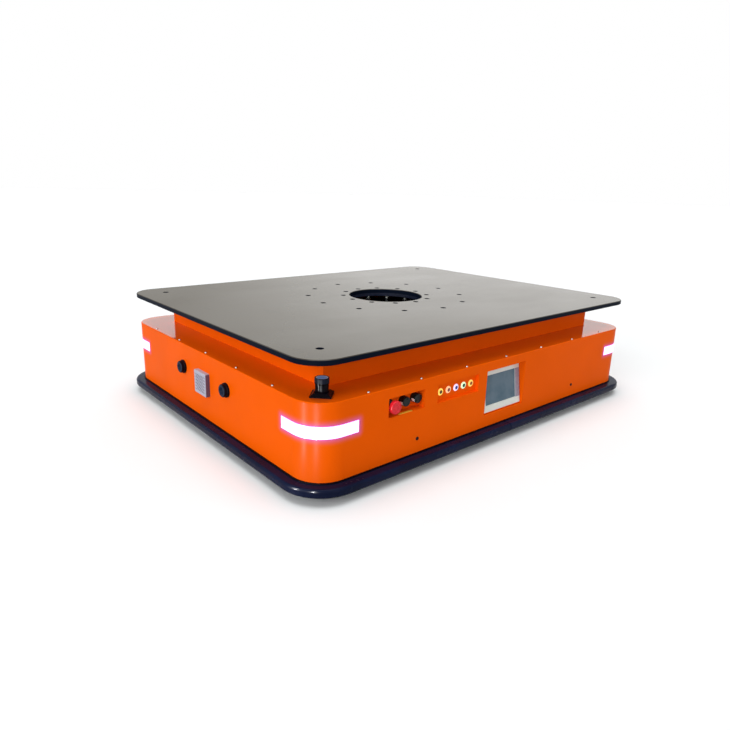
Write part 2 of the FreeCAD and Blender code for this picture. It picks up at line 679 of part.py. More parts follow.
def make_equipment_box(name, label_side, height):
    """A closed housing with softened edges that stands on the pan between the rails."""
    near = s.mid_rail_x + s.rail_width / 2 + s.box_gap
    far = s.end_rail_x - s.rail_width / 2 - s.box_gap
    width = (s.side_rail_y - s.rail_width / 2 - s.box_gap) * 2
    body = new_body(name)
    outline = new_sketch(body)
    add_rounded_rectangle(outline, far - near, width, s.box_corner)
    pad(body, outline, height)
    soften(body, "Chamfer", s.box_chamfer, lambda edge, middle: is_flat_at(edge, height))
    keep(place(body, (near + far) / 2 * label_side, 0, s.pan_top), name)


# ---------------------------------------------------------------- drive units
wheel_inner_face = s.drive_wheel_y - s.drive_wheel_width / 2
bracket_outer_face = wheel_inner_face - s.bracket_gap
gearbox_outer_face = bracket_outer_face - s.bracket_thick


def make_drive_unit(name, side):
    """Wheel, gearbox and motor on one cross axis; local z points outward from the robot's middle."""
    outward = FACING_RIGHT if side > 0 else FACING_LEFT
    rim_radius = s.drive_wheel_dia / 2 - s.tyre_thick
    half_width = s.drive_wheel_width / 2

    tyre = new_body(f"drive_tyre_{name}")
    profile = new_sketch(tyre, "XZ_Plane")
    add_polygon(profile, ((rim_radius, -half_width), (s.drive_wheel_dia / 2 - s.tyre_round, -half_width),
                          (s.drive_wheel_dia / 2, -half_width + s.tyre_round),
                          (s.drive_wheel_dia / 2, half_width - s.tyre_round),
                          (s.drive_wheel_dia / 2 - s.tyre_round, half_width), (rim_radius, half_width)))
    revolve(tyre, profile)
    keep(place(tyre, 0, s.drive_wheel_y * side, axle_level, outward), f"drive_tyre_{name}")

    hub = new_body(f"drive_hub_{name}")
    profile = new_sketch(hub, "XZ_Plane")
    rim_wall = s.hub_web / 2
    boss_radius = s.hub_boss_dia / 2
    shaft_end = -(s.drive_wheel_width / 2 + s.bracket_gap + s.bracket_thick + s.gearbox_length / 2)
    add_polygon(profile, ((0, shaft_end), (s.axle_dia / 2, shaft_end), (s.axle_dia / 2, -half_width),
                          (boss_radius, -half_width), (boss_radius, -s.hub_web / 2),
                          (rim_radius - rim_wall, -s.hub_web / 2), (rim_radius - rim_wall, -half_width),
                          (rim_radius, -half_width), (rim_radius, half_width),
                          (rim_radius - rim_wall, half_width),
                          (rim_radius - rim_wall, s.hub_web / 2), (boss_radius, s.hub_web / 2),
                          (boss_radius - rim_wall, half_width), (0, half_width)))
    revolve(hub, profile)
    web_hole = new_sketch(hub)
    add_circle(web_hole, rim_radius - rim_wall * 2 - boss_radius, (rim_radius - rim_wall + boss_radius) / 2)
    ring_pattern(hub, pocket(hub, web_hole, s.hub_web * 2, both_sides=True), 6)
    keep(place(hub, 0, s.drive_wheel_y * side, axle_level, outward), f"drive_hub_{name}")

    gearbox = new_body(f"gearbox_{name}")
    section = new_sketch(gearbox)
    add_rounded_rectangle(section, s.gearbox_side, s.gearbox_side, s.gearbox_edge)
    pad(gearbox, section, s.gearbox_length)
    pilot = new_sketch(gearbox, level=s.gearbox_length)
    add_circle(pilot, s.pilot_dia)
    pad(gearbox, pilot, s.pilot_length)
    shaft_bore = new_sketch(gearbox, level=s.gearbox_length / 2 - s.shaft_gap)
    add_circle(shaft_bore, s.axle_dia + s.axle_fit * 2)
    pocket(gearbox, shaft_bore, upward=True)
    gearbox_start = gearbox_outer_face - s.gearbox_length
    keep(place(gearbox, 0, gearbox_start * side, axle_level, outward), f"gearbox_{name}")

    motor = new_body(f"drive_motor_{name}")
    profile = new_sketch(motor, "XZ_Plane")
    add_polygon(profile, ((0, 0), (s.encoder_dia / 2, 0), (s.encoder_dia / 2, s.encoder_length),
                          (s.motor_dia / 2, s.encoder_length), (s.motor_dia / 2, s.motor_length),
                          (0, s.motor_length)))
    revolve(motor, profile)
    motor_start = gearbox_start - s.motor_length
    keep(place(motor, 0, motor_start * side, axle_level, outward), f"drive_motor_{name}")


def make_drive_brackets():
    """Angle brackets that hang the drive units from the side rails."""
    brackets = []
    drop = mount_base + s.mount_plate_thick - (axle_level - s.gearbox_side / 2)
    shelf_width = bracket_outer_face - s.side_rail_y + s.rail_width / 2
    for side in (-1, 1):
        body = new_body("drive_bracket")
        profile = new_sketch(body, "YZ_Plane")
        face = bracket_outer_face * side
        back = gearbox_outer_face * side
        shelf_end = (bracket_outer_face - shelf_width) * side
        add_polygon(profile, ((face, 0), (face, drop), (shelf_end, drop), (shelf_end, drop - s.bracket_thick),
                              (back, drop - s.bracket_thick), (back, 0)))
        pad(body, profile, s.bracket_width, both_sides=True)
        hole = new_sketch(body, "XZ_Plane")
        add_circle(hole, s.pilot_dia, 0, s.gearbox_side / 2)
        pocket(body, hole, s.shell_width, both_sides=True)
        brackets.append(place(body, z=axle_level - s.gearbox_side / 2))
    keep(group("drive_brackets", brackets), "drive_brackets")


# ---------------------------------------------------------------- casters
caster_plate_base = mount_base - s.caster_plate_thick
fork_crown = s.caster_wheel_dia + s.fork_top_clear
crown_thick = caster_plate_base - s.swivel_gap - fork_crown


def make_caster(corner, side_x, side_y):
    """Swivel fork with its wheel; local origin on the floor under the swivel axis, wheel trailing to +X."""
    fork = new_body(f"caster_fork_{corner}")
    inner_half = s.caster_wheel_width / 2 + s.fork_gap
    outer_half = inner_half + s.fork_wall
    axle = s.caster_wheel_dia / 2
    crown_reach = s.swivel_dia / 2
    cheek_tip = s.caster_trail + s.fork_width / 2
    side_view = new_sketch(fork, "XZ_Plane")
    facet = s.fork_width / 4
    add_polygon(side_view, ((-crown_reach, fork_crown), (s.caster_trail - facet * 2, axle - facet),
                            (s.caster_trail - facet, axle - facet * 2),
                            (s.caster_trail + facet, axle - facet * 2),
                            (cheek_tip, axle - facet), (cheek_tip, axle),
                            (crown_reach, fork_crown + crown_thick),
                            (-crown_reach, fork_crown + crown_thick)))
    pad(fork, side_view, outer_half * 2, both_sides=True)
    gap = new_sketch(fork, "YZ_Plane")
    add_rectangle(gap, 0, fork_crown / 2, inner_half * 2, fork_crown)
    pocket(fork, gap, s.caster_wheel_dia * 3, both_sides=True)
    kingpin_hole = new_sketch(fork)
    add_circle(kingpin_hole, s.kingpin_dia + s.axle_fit * 2)
    pocket(fork, kingpin_hole, s.frame_base, upward=True)
    axle_pin = new_sketch(fork, "XZ_Plane")
    add_circle(axle_pin, s.caster_axle_dia, s.caster_trail, axle)
    pad(fork, axle_pin, outer_half * 2 + s.fork_wall, both_sides=True)
    keep(place(fork, s.caster_x * side_x, s.caster_y * side_y, 0), f"caster_fork_{corner}")

    wheel = new_body(f"caster_wheel_{corner}")
    profile = new_sketch(wheel, "XZ_Plane")
    bore = s.caster_axle_dia / 2 + s.axle_fit
    half = s.caster_wheel_width / 2
    dish = s.caster_dish
    tread = s.caster_wheel_dia / 2
    rim = tread - s.tyre_thick
    hub = s.caster_hub_dia / 2
    add_polygon(profile, ((bore, -half), (hub, -half), (hub, -half + dish),
                          (rim, -half + dish), (rim, -half), (tread - s.tyre_round, -half),
                          (tread, -half + s.tyre_round), (tread, half - s.tyre_round),
                          (tread - s.tyre_round, half), (rim, half), (rim, half - dish),
                          (hub, half - dish), (hub, half), (bore, half)))
    revolve(wheel, profile)
    keep(place(wheel, s.caster_x * side_x + s.caster_trail, s.caster_y * side_y, axle, FACING_RIGHT),
         f"caster_wheel_{corner}")


def make_caster_plates():
    """Top plates of the casters, each with its kingpin."""
    plates = []
    for _, side_x, side_y in CORNERS:
        body = new_body("caster_plate")
        outline = new_sketch(body)
        add_rounded_rectangle(outline, s.caster_plate_length, s.caster_plate_width, s.caster_plate_corner)
        pad(body, outline, s.caster_plate_thick)
        pin = new_sketch(body)
        add_circle(pin, s.kingpin_dia)
        feature = pad(body, pin, caster_plate_base - fork_crown - s.kingpin_gap)
        feature.Reversed = True
        plates.append(place(body, s.caster_x * side_x, s.caster_y * side_y, caster_plate_base))
    keep(group("caster_plates", plates), "caster_plates")


# ---------------------------------------------------------------- lidar scanners
def make_lidar(name, side):
    """Scanner on a tapered square foot, turned to look out over its corner."""
    x = (s.shell_length / 2 - s.lidar_inset_x) * side
    y = (s.shell_width / 2 - s.lidar_inset_y) * side
    turned = Rotation(Vector(0, 0, 1), 45)

    foot = new_body(f"lidar_base_{name}")
    flange = new_sketch(foot)
    add_rounded_rectangle(flange, s.lidar_base_side, s.lidar_base_side, s.lidar_flange_thick)
    pad(foot, flange, s.lidar_flange_thick)
    low = new_sketch(foot, level=s.lidar_flange_thick)
    low_side = s.lidar_base_side - s.lidar_shoulder_step * 2
    add_rectangle(low, 0, 0, low_side, low_side)
    high = new_sketch(foot, level=s.lidar_base_height)
    high_side = s.lidar_body_dia + s.lidar_window_step
    add_rectangle(high, 0, 0, high_side, high_side)
    loft = foot.newObject("PartDesign::AdditiveLoft", "shoulder")
    loft.Profile = low
    loft.Sections = [high]
    keep(place(foot, x, y, s.deck_top, turned), f"lidar_base_{name}")

    head = new_body(f"lidar_head_{name}")
    profile = new_sketch(head, "XZ_Plane")
    radius = s.lidar_body_dia / 2
    window_top = s.lidar_base_height + s.lidar_window_height
    step = s.lidar_window_step
    cap_seat = s.lidar_height - s.lidar_cap_thick
    add_polygon(profile, ((0, s.lidar_base_height), (radius, s.lidar_base_height),
                          (radius, s.lidar_base_height + step),
                          (radius - step, s.lidar_base_height + step * 2),
                          (radius - step, window_top - step), (radius, window_top),
                          (radius, s.lidar_height - step / 2), (radius - step / 2, s.lidar_height),
                          (s.lidar_cap_dia / 2, s.lidar_height), (s.lidar_cap_dia / 2, cap_seat),
                          (0, cap_seat)))
    revolve(head, profile)
    keep(place(head, x, y, s.deck_top), f"lidar_head_{name}")

    cap = plain_cylinder(f"lidar_cap_{name}", s.lidar_cap_dia, s.lidar_cap_thick / 2, x, y,
                         s.deck_top + cap_seat)
    keep(cap, f"lidar_cap_{name}")


# ---------------------------------------------------------------- front end
def make_speaker():
    """Sounder box with a grille plate let into its front."""
    body = new_body("speaker_housing")
    outline = new_sketch(body)
    add_rounded_rectangle(outline, s.speaker_side, s.speaker_height, s.speaker_round)
    pad(body, outline, s.speaker_proud)
    soften(body, "Fillet", s.speaker_round / 2, lambda edge, middle: is_flat_at(edge, s.speaker_proud))
    seat = new_sketch(body, level=s.speaker_proud)
    seat_length = s.speaker_side - s.grille_inset * 2
    seat_height = s.speaker_height - s.grille_inset * 2
    add_rectangle(seat, 0, 0, seat_length, seat_height)
    pocket(body, seat, s.speaker_cavity)
    keep(place(body, front_face, 0, s.speaker_level, FACING_FRONT), "speaker_housing")

    grille = new_body("speaker_grille")
    outline = new_sketch(grille)
    add_rectangle(outline, 0, 0, seat_length, seat_height)
    pad(grille, outline, s.grille_thick)
    hole = new_sketch(grille)
    count = 5
    reach = s.grille_pitch * (count - 1)
    add_circle(hole, s.grille_hole, -reach / 2, -reach / 2)
    first = pocket(grille, hole, upward=True)
    both_ways = grille.newObject("PartDesign::MultiTransform", "grid")
    both_ways.Originals = [first]
    ways = []
    for axis in ("H_Axis", "V_Axis"):
        way = grille.newObject("PartDesign::LinearPattern", "way")
        way.Direction = (hole, [axis])
        bind(way, "Length", reach)
        way.Occurrences = count
        ways.append(way)
    both_ways.Transformations = ways
    grille.Tip = both_ways
    grille_front = front_face - s.speaker_proud + s.grille_thick
    keep(place(grille, grille_front, 0, s.speaker_level, FACING_FRONT), "speaker_grille")


def make_range_sensor(name, side):
    """Round stepped cap with a dished face."""
    body = new_body(f"range_sensor_{name}")
    profile = new_sketch(body, "XZ_Plane")
    radius = s.sensor_dia / 2
    step = s.sensor_step
    add_polygon(profile, ((0, 0), (radius, 0), (radius, step), (radius - step / 2, step * 1.5),
                          (radius - step / 2, s.sensor_proud - step / 2), (radius - step, s.sensor_proud),
                          (radius - step * 2, s.sensor_proud), (radius - step * 3, s.sensor_proud - step),
                          (0, s.sensor_proud - step)))
    revolve(body, profile)
    place(body, front_face, s.sensor_offset * side, s.sensor_level, FACING_FRONT)
    keep(body, f"range_sensor_{name}")


# ---------------------------------------------------------------- operator panel
estop_floor = left_face + s.estop_tray_depth
button_floor = left_face + s.button_tray_depth


def make_estop():
    """Collar and contact block, a stem that pushes in, and a mushroom head that twists on the stem."""
    collar = new_body("estop_collar")
    profile = new_sketch(collar, "XZ_Plane")
    bore = s.estop_stem_dia / 2 + s.push_fit
    neck = s.estop_neck_dia / 2 - s.push_fit
    collar_radius = s.estop_collar_dia / 2
    add_polygon(profile, ((bore, -s.contact_block_depth / 2), (neck, -s.contact_block_depth / 2), (neck, 0),
                          (collar_radius, 0), (collar_radius, s.estop_collar_height / 2),
                          (collar_radius - s.estop_collar_height / 2, s.estop_collar_height),
                          (bore, s.estop_collar_height)))
    revolve(collar, profile)
    block = new_sketch(collar, level=-s.contact_block_depth / 2)
    add_rectangle(block, 0, 0, s.contact_block_side, s.contact_block_side)
    feature = pad(collar, block, s.contact_block_depth / 2)
    feature.Reversed = True
    keep(place(collar, s.estop_x, estop_floor, small_tray_level, FACING_LEFT), "estop_collar")

    stem_base = -s.contact_block_depth / 2 + s.estop_travel + s.push_gap
    stem_top = s.estop_proud - s.estop_cap_height / 2
    stem = plain_cylinder("estop_stem", s.estop_stem_dia, stem_top - stem_base, s.estop_x,
                          estop_floor - stem_base, small_tray_level, FACING_LEFT)
    keep(stem, "estop_stem")

    head = new_body("estop_button")
    profile = new_sketch(head, "XZ_Plane")
    radius = s.estop_dia / 2
    underside = s.estop_proud - s.estop_cap_height
    add_polygon(profile, ((bore, underside), (s.estop_under_dia / 2, underside),
                          (radius, underside + s.estop_flare), (radius, s.estop_proud), (0, s.estop_proud),
                          (0, stem_top + s.push_gap), (bore, stem_top + s.push_gap)))
    revolve(head, profile)
    soften(head, "Fillet", s.estop_round, lambda edge, middle: is_flat_at(edge, s.estop_proud))
    keep(place(head, s.estop_x, estop_floor, small_tray_level, FACING_LEFT), "estop_button")


def make_selectors():
    """Two rotary switches: fixed bezels, and knobs with a pointer groove."""
    bezels = []
    places = ((s.selector_a_x, s.selector_a_turn), (s.selector_b_x, s.selector_b_turn))
    for number, (x, turn) in enumerate(places, start=1):
        bezel = new_body("selector_bezel")
        ring = new_sketch(bezel)
        add_circle(ring, s.selector_bezel_dia)
        add_circle(ring, s.selector_shaft_dia + s.selector_gap * 2)
        pad(bezel, ring, s.selector_bezel_height)
        bezels.append(place(bezel, x, estop_floor, small_tray_level, FACING_LEFT))

        knob = new_body(f"selector_knob_{number}")
        profile = new_sketch(knob, "XZ_Plane")
        low = s.selector_bezel_height + s.selector_gap
        front = low + s.selector_knob_height
        shaft = s.selector_shaft_dia / 2
        radius = s.selector_knob_dia / 2
        back = -s.selector_shaft_depth
        add_polygon(profile, ((0, back), (shaft, back), (shaft, low), (radius, low), (radius, front),
                              (0, front)))
        revolve(knob, profile)
        soften(knob, "Fillet", s.selector_knob_round, lambda edge, middle: is_flat_at(edge, front))
        groove = new_sketch(knob, level=front)
        add_rectangle(groove, 0, radius, s.pointer_width, s.pointer_length * 2)
        bind(groove, "AttachmentOffset.Rotation.Angle", turn)
        pocket(knob, groove, s.pointer_depth)
        keep(place(knob, x, estop_floor, small_tray_level, FACING_LEFT), f"selector_knob_{number}")
    keep(group("selector_bezels", bezels), "selector_bezels")


def make_push_buttons():
    """Five ring buttons in a row: fixed bezels with barrels, and caps that push in."""
    bezels = []
    cap_radius = s.button_cap_dia / 2
    for number in range(1, 6):
        x = s.button_tray_x + s.button_pitch * (number - 3)
        bezel = new_body("button_bezel")
        profile = new_sketch(bezel, "XZ_Plane")
        bore = cap_radius + s.push_fit
        barrel = s.button_barrel_dia / 2 - s.button_barrel_fit
        rim = s.button_bezel_dia / 2
        floor = -s.button_barrel_depth
        slope = s.button_bezel_height / 2
        add_polygon(profile, ((0, floor), (barrel, floor), (barrel, 0), (rim, 0), (rim, slope),
                              (rim - slope, s.button_bezel_height), (bore, s.button_bezel_height),
                              (bore, -s.button_bore_depth), (0, -s.button_bore_depth)))
        revolve(bezel, profile)
        bezels.append(place(bezel, x, button_floor, small_tray_level, FACING_LEFT))

        cap_base = -s.button_bore_depth + s.button_travel + s.push_gap
        cap_top = s.button_bezel_height + s.button_cap_proud
        cap = plain_cylinder(f"push_button_{number}", s.button_cap_dia, cap_top - cap_base, x,
                             button_floor - cap_base, small_tray_level, FACING_LEFT)
        keep(cap, f"push_button_{number}")
    keep(group("button_bezels", bezels), "button_bezels")


def make_operator_screen():
    """Bezel, glass and housing on the leaning back of the recess; local z points out of the screen."""
    leaning = Rotation(Vector(1, 0, 0), 90 - s.hmi_tilt.number)
    depth_in_middle = s.hmi_low_depth + s.hmi_opening_height / 2 * tangent(s.hmi_tilt)
    middle_y = left_face + depth_in_middle

    def put(body, name):
        body.Placement = Placement(Vector(), leaning)
        bind(body, "Placement.Rotation.Angle", as_size(90) - s.hmi_tilt)
        for axis, value in (("x", s.hmi_x), ("y", middle_y), ("z", hmi_level)):
            bind(body, f"Placement.Base.{axis}", value)
        keep(body, name)

    bezel = new_body("hmi_bezel")
    outline = new_sketch(bezel)
    add_rounded_rectangle(outline, s.hmi_length, s.hmi_height, s.hmi_round)
    pad(bezel, outline, s.hmi_thick)
    window = new_sketch(bezel)
    add_rectangle(window, s.hmi_window_shift, 0, s.hmi_window_length, s.hmi_window_height)
    pocket(bezel, window, upward=True)
    seat = new_sketch(bezel)
    add_rectangle(seat, 0, 0, s.hmi_body_length, s.hmi_body_height)
    pocket(bezel, seat, s.hmi_thick - s.hmi_lip, upward=True)
    soften(bezel, "Fillet", s.hmi_round / 2,
           lambda edge, middle: is_flat_at(edge, s.hmi_thick) and
           lies_outside(middle, s.hmi_body_length, s.hmi_body_height))
    put(bezel, "hmi_bezel")

    glass = new_body("hmi_screen")
    sheet_outline = new_sketch(glass, level=s.hmi_thick - s.hmi_lip - s.hmi_glass_thick)
    add_rectangle(sheet_outline, 0, 0, s.hmi_body_length - s.hmi_fit * 2, s.hmi_body_height - s.hmi_fit * 2)
    pad(glass, sheet_outline, s.hmi_glass_thick)
    put(glass, "hmi_screen")

    housing = new_body("hmi_housing")
    housing_outline = new_sketch(housing, level=-s.hmi_body_depth)
    add_rectangle(housing_outline, 0, 0, s.hmi_body_length - s.hmi_fit * 2, s.hmi_body_height - s.hmi_fit * 2)
    pad(housing, housing_outline, s.hmi_body_depth + s.hmi_thick - s.hmi_lip - s.hmi_glass_thick)
    put(housing, "hmi_housing")


# ---------------------------------------------------------------- build
make_top_plate()
make_cable_ring()
make_riser_box()
make_riser_frame()
make_deck_cover()
make_side_shell()
make_corner_lights()
make_base_pan()
make_bumper("bumper_front", -1)
make_bumper("bumper_rear", 1)
make_chassis_frame()
make_equipment_box("control_box", -1, s.control_height)
make_equipment_box("battery_pack", 1, s.battery_height)
for side_name, side_sign in SIDES:
    make_drive_unit(side_name, side_sign)
make_drive_brackets()
for corner_name, corner_x, corner_y in CORNERS:
    make_caster(corner_name, corner_x, corner_y)
make_caster_plates()
make_lidar("front", -1)
make_lidar("rear", 1)
make_speaker()
for side_name, side_sign in SIDES:
    make_range_sensor(side_name, side_sign)
make_estop()
make_selectors()
make_push_buttons()
make_operator_screen()
doc.recompute()

# ---------------------------------------------------------------- check and write
for item in doc.Objects:
    if "Invalid" in item.State or "Error" in item.State:
        raise RuntimeError(f"{item.Label} failed: {item.State}")
for name, item in NODES:
    if item.Shape.isNull() or not item.Shape.isValid() or not item.Shape.Solids:
        raise RuntimeError(f"{name} has no valid solid")

os.makedirs("parts", exist_ok=True)
for name, item in NODES:
    item.Shape.exportStep(f"parts/{name}.step")
print(len(NODES), "sub-parts,", sum(len(item.Shape.Solids) for _, item in NODES), "solids")
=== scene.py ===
"""Looks of a low mobile robot with an equipment plate: finishes, small fittings, floor and camera."""

import math

import bmesh
import bpy
from bpy.props import FloatProperty, FloatVectorProperty, IntProperty, PointerProperty
from mathutils import Matrix, Vector


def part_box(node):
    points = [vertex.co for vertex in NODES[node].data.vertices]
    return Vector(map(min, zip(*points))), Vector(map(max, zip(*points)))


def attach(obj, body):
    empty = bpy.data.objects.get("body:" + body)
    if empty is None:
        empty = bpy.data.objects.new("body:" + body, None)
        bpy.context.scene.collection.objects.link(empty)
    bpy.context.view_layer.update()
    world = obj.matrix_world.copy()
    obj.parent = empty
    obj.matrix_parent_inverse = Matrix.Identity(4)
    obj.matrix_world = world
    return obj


bl_info = {
    "name": "Mobile Robot Looks",
    "version": (1, 0, 0),
    "blender": (4, 5, 0),
    "location": "View3D > Sidebar > Robot",
    "description": "Finishes and small fittings for a mobile robot with an equipment plate",
    "category": "Object",
}

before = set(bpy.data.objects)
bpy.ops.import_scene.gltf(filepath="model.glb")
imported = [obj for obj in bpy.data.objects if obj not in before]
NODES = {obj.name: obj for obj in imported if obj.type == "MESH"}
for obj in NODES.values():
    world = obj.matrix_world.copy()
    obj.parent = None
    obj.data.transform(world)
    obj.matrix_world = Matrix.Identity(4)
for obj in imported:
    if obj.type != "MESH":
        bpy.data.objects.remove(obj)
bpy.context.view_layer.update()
BASE = "base"
CORNERS = ("front_left", "front_right", "rear_left", "rear_right")
SIDES = ("left", "right")
SMOOTH_ANGLE = 35       # degrees; steeper edges stay sharp
SMALL_SEGMENTS = 24     # sides of a small turned part
LENS_GLOW, BUTTON_GLOW, DISPLAY_GLOW = 1.5, 0.45, 0.4   # emission strengths


def middle(node):
    """Centre of a CAD node's box."""
    low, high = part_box(node)
    return (low + high) / 2


# ---- settings
class PaintSettings(bpy.types.PropertyGroup):
    """Gloss paint of the covers."""

    colour: FloatVectorProperty(
        name="Colour", description="Paint colour of the covers", subtype="COLOR", size=3,
        default=(0.93, 0.116, 0.001), min=0, max=1)
    peel_size: FloatProperty(
        name="Peel size", description="Width of one ripple of the paint's orange peel", default=0.004,
        unit="LENGTH")
    deck_polish: FloatProperty(
        name="Deck polish", description="Strength of the clear coat on the deck", default=1.0, min=0,
        max=1)
    # Painted glow: the corner lights' tint is painted into the paint's base colour, not cast by them.
    painted_glow_colour: FloatVectorProperty(
        name="Glow", description="Tint that the corner lights throw on the paint", subtype="COLOR",
        size=3, default=(0.82, 0.16, 0.50), min=0, max=1)
    painted_glow_reach: FloatProperty(
        name="Glow reach", description="How far the glow spreads over the paint", default=0.024,
        unit="LENGTH")


class PlateSettings(bpy.types.PropertyGroup):
    """Black equipment plate."""

    # The top's lighter colour is partly its worn film and partly painted reflection of the sky.
    colour: FloatVectorProperty(
        name="Colour", description="Base colour of the plate", subtype="COLOR", size=3,
        default=(0.056, 0.045, 0.026), min=0, max=1)
    edge_colour: FloatVectorProperty(
        name="Edge colour", description="Colour of the plate's milled edges", subtype="COLOR", size=3,
        default=(0.004, 0.007, 0.016), min=0, max=1)
    streak_length: FloatProperty(
        name="Streak length", description="Length of the rolling streaks", default=0.35, unit="LENGTH")
    streak_width: FloatProperty(
        name="Streak width", description="Width of the rolling streaks", default=0.03, unit="LENGTH")
    ring_width: FloatProperty(
        name="Ring width", description="Width of the ring round the cable bore", default=0.050,
        unit="LENGTH")
    connectors: IntProperty(
        name="Connectors", description="Cable connectors under the ring", default=12, min=1)
    connector_radius: FloatProperty(
        name="Connector radius", description="Radius of a cable connector", default=0.010,
        unit="LENGTH")
    connector_length: FloatProperty(
        name="Connector length", description="Length of a cable connector", default=0.028,
        unit="LENGTH")


class LampSettings(bpy.types.PropertyGroup):
    """Corner lights."""

    core: FloatVectorProperty(
        name="Core", description="Colour in the middle of the lens", subtype="COLOR", size=3,
        default=(1.0, 0.97, 1.0), min=0, max=1)
    rim: FloatVectorProperty(
        name="Rim", description="Colour along the edge of the lens", subtype="COLOR", size=3,
        default=(0.70, 0.20, 0.95), min=0, max=1)
    rim_width: FloatProperty(
        name="Rim width", description="Width of the coloured edge", default=0.006, unit="LENGTH")


class ScrewSettings(bpy.types.PropertyGroup):
    """Button-head screws of the deck and the walls."""

    head_radius: FloatProperty(
        name="Head radius", description="Radius of a screw head", default=0.0037, unit="LENGTH")
    head_height: FloatProperty(
        name="Head height", description="Height of a screw head", default=0.0027, unit="LENGTH")
    deck_inset: FloatProperty(
        name="Deck inset", description="Distance of the deck screws from the cover's edge",
        default=0.011, unit="LENGTH")
    deck_pitch: FloatProperty(
        name="Deck pitch", description="Spacing of the deck screws", default=0.195, unit="LENGTH")
    long_side: IntProperty(
        name="Long side", description="Screws along a long edge of the deck", default=7, min=1)
    short_side: IntProperty(
        name="Short side", description="Screws along a short edge of the deck", default=5, min=1)
    plug_radius: FloatProperty(
        name="Plug radius", description="Radius of a wall bolt's black head", default=0.0055,
        unit="LENGTH")
    wall_reach: FloatProperty(
        name="Wall reach", description="Wall bolts' distance from the robot's middle", default=0.405,
        unit="LENGTH")
    wall_rise: FloatProperty(
        name="Wall rise", description="Wall bolts' height over the cover's lower edge", default=0.0425,
        unit="LENGTH")


class FrontSettings(bpy.types.PropertyGroup):
    """Speaker grille."""

    hole_pitch: FloatProperty(
        name="Hole pitch", description="Spacing of the grille holes", default=0.010, unit="LENGTH")
    hole_radius: FloatProperty(
        name="Hole radius", description="Radius of a grille hole", default=0.0025, unit="LENGTH")


class PanelSettings(bpy.types.PropertyGroup):
    """Fittings of the operator panel."""

    button_core: FloatProperty(
        name="Button core", description="Radius of a button's dark middle", default=0.0056,
        unit="LENGTH")
    index_angle: FloatProperty(
        name="Index angle", description="Where a selector's white index stands, from its right",
        default=math.radians(196), subtype="ANGLE")
    index_width: FloatProperty(
        name="Index width", description="Width of a selector's white index round the knob",
        default=0.009, unit="LENGTH")
    index_length: FloatProperty(
        name="Index length", description="Length of a selector's white index along the knob",
        default=0.011, unit="LENGTH")
    index_setback: FloatProperty(
        name="Index setback", description="Depth of the index behind the knob's face", default=0.003,
        unit="LENGTH")
    window_end: FloatProperty(
        name="Window end",
        description="Distance from the screen frame's middle to the display's far end", default=0.074,
        unit="LENGTH")
    window_rise: FloatProperty(
        name="Window rise", description="Half the height of the display", default=0.0485,
        unit="LENGTH")
    strip_length: FloatProperty(
        name="Strip length", description="Length of the yellow strip beside the stop button",
        default=0.051, unit="LENGTH")
    strip_width: FloatProperty(
        name="Strip width", description="Width of the yellow strip beside the stop button",
        default=0.008, unit="LENGTH")
    strip_offset: FloatProperty(
        name="Strip offset", description="Distance along the wall from the stop to the strip",
        default=0.0465, unit="LENGTH")
    strip_inset: FloatProperty(
        name="Strip inset", description="Depth of the strip behind the wall", default=0.006,
        unit="LENGTH")
    strip_drop: FloatProperty(
        name="Strip drop", description="Height of the stop's axis over the strip", default=0.02775,
        unit="LENGTH")


class StageSettings(bpy.types.PropertyGroup):
    """Camera, floor and lights."""

    camera_place: FloatVectorProperty(
        name="Camera place", description="Where the camera stands", size=3,
        default=(-1.5255, -1.6450, 0.7722), subtype="XYZ", unit="LENGTH")
    azimuth: FloatProperty(
        name="Azimuth", description="Camera heading, clockwise from +Y", default=math.radians(40.54),
        subtype="ANGLE")
    dip: FloatProperty(
        name="Dip", description="How far the camera looks down", default=math.radians(16.01),
        subtype="ANGLE")
    roll: FloatProperty(
        name="Roll", description="Camera roll", default=math.radians(1.51), subtype="ANGLE")
    lens: FloatProperty(name="Lens", description="Focal length on a 36 mm sensor", default=28.74)
    shift: FloatVectorProperty(name="Shift", description="Lens shift", size=2, default=(0.006, -0.0117))
    floor_colour: FloatVectorProperty(
        name="Floor", description="Colour of the floor", subtype="COLOR", size=3,
        default=(0.915, 0.935, 0.94), min=0, max=1)
    floor_bounce: FloatVectorProperty(
        name="Floor bounce", description="Colour that the floor throws on the robot", subtype="COLOR",
        size=3, default=(0.45, 0.45, 0.45), min=0, max=1)
    sky_level: FloatProperty(
        name="Sky level", description="Strength of the even light from all round", default=0.48, min=0)
    key_level: FloatProperty(
        name="Key level", description="Strength of the low light from the front", default=2.15, min=0)
    fill_level: FloatProperty(
        name="Fill level", description="Strength of the low light from the left side", default=0.45,
        min=0)
    overhead_level: FloatProperty(
        name="Overhead level", description="Strength of the light from above", default=1.5, min=0)
    lamp_size: FloatProperty(
        name="Lamp size", description="Apparent width of the three lights", default=math.radians(50),
        subtype="ANGLE")
    streak_power: FloatProperty(
        name="Streak power", description="Power of the two strip lights by the near corner",
        default=5.0, min=0, unit="POWER")
    streak_size: FloatVectorProperty(
        name="Streak size", description="Width and height of a strip light", size=2,
        default=(0.014, 0.20), unit="LENGTH")
    streak_left: FloatVectorProperty(
        name="Left streak", description="Where the left strip light stands", size=2,
        default=(-1.008, -0.513), subtype="XYZ", unit="LENGTH")
    streak_right: FloatVectorProperty(
        name="Right streak", description="Where the right strip light stands", size=2,
        default=(-0.941, -0.7125), subtype="XYZ", unit="LENGTH")
    key_from: FloatVectorProperty(
        name="Key from", description="Direction that the front light comes from", size=3,
        default=(-0.94, -0.20, 0.22), subtype="DIRECTION")
    fill_from: FloatVectorProperty(
        name="Fill from", description="Direction that the side light comes from", size=3,
        default=(-0.15, -0.97, 0.10), subtype="DIRECTION")


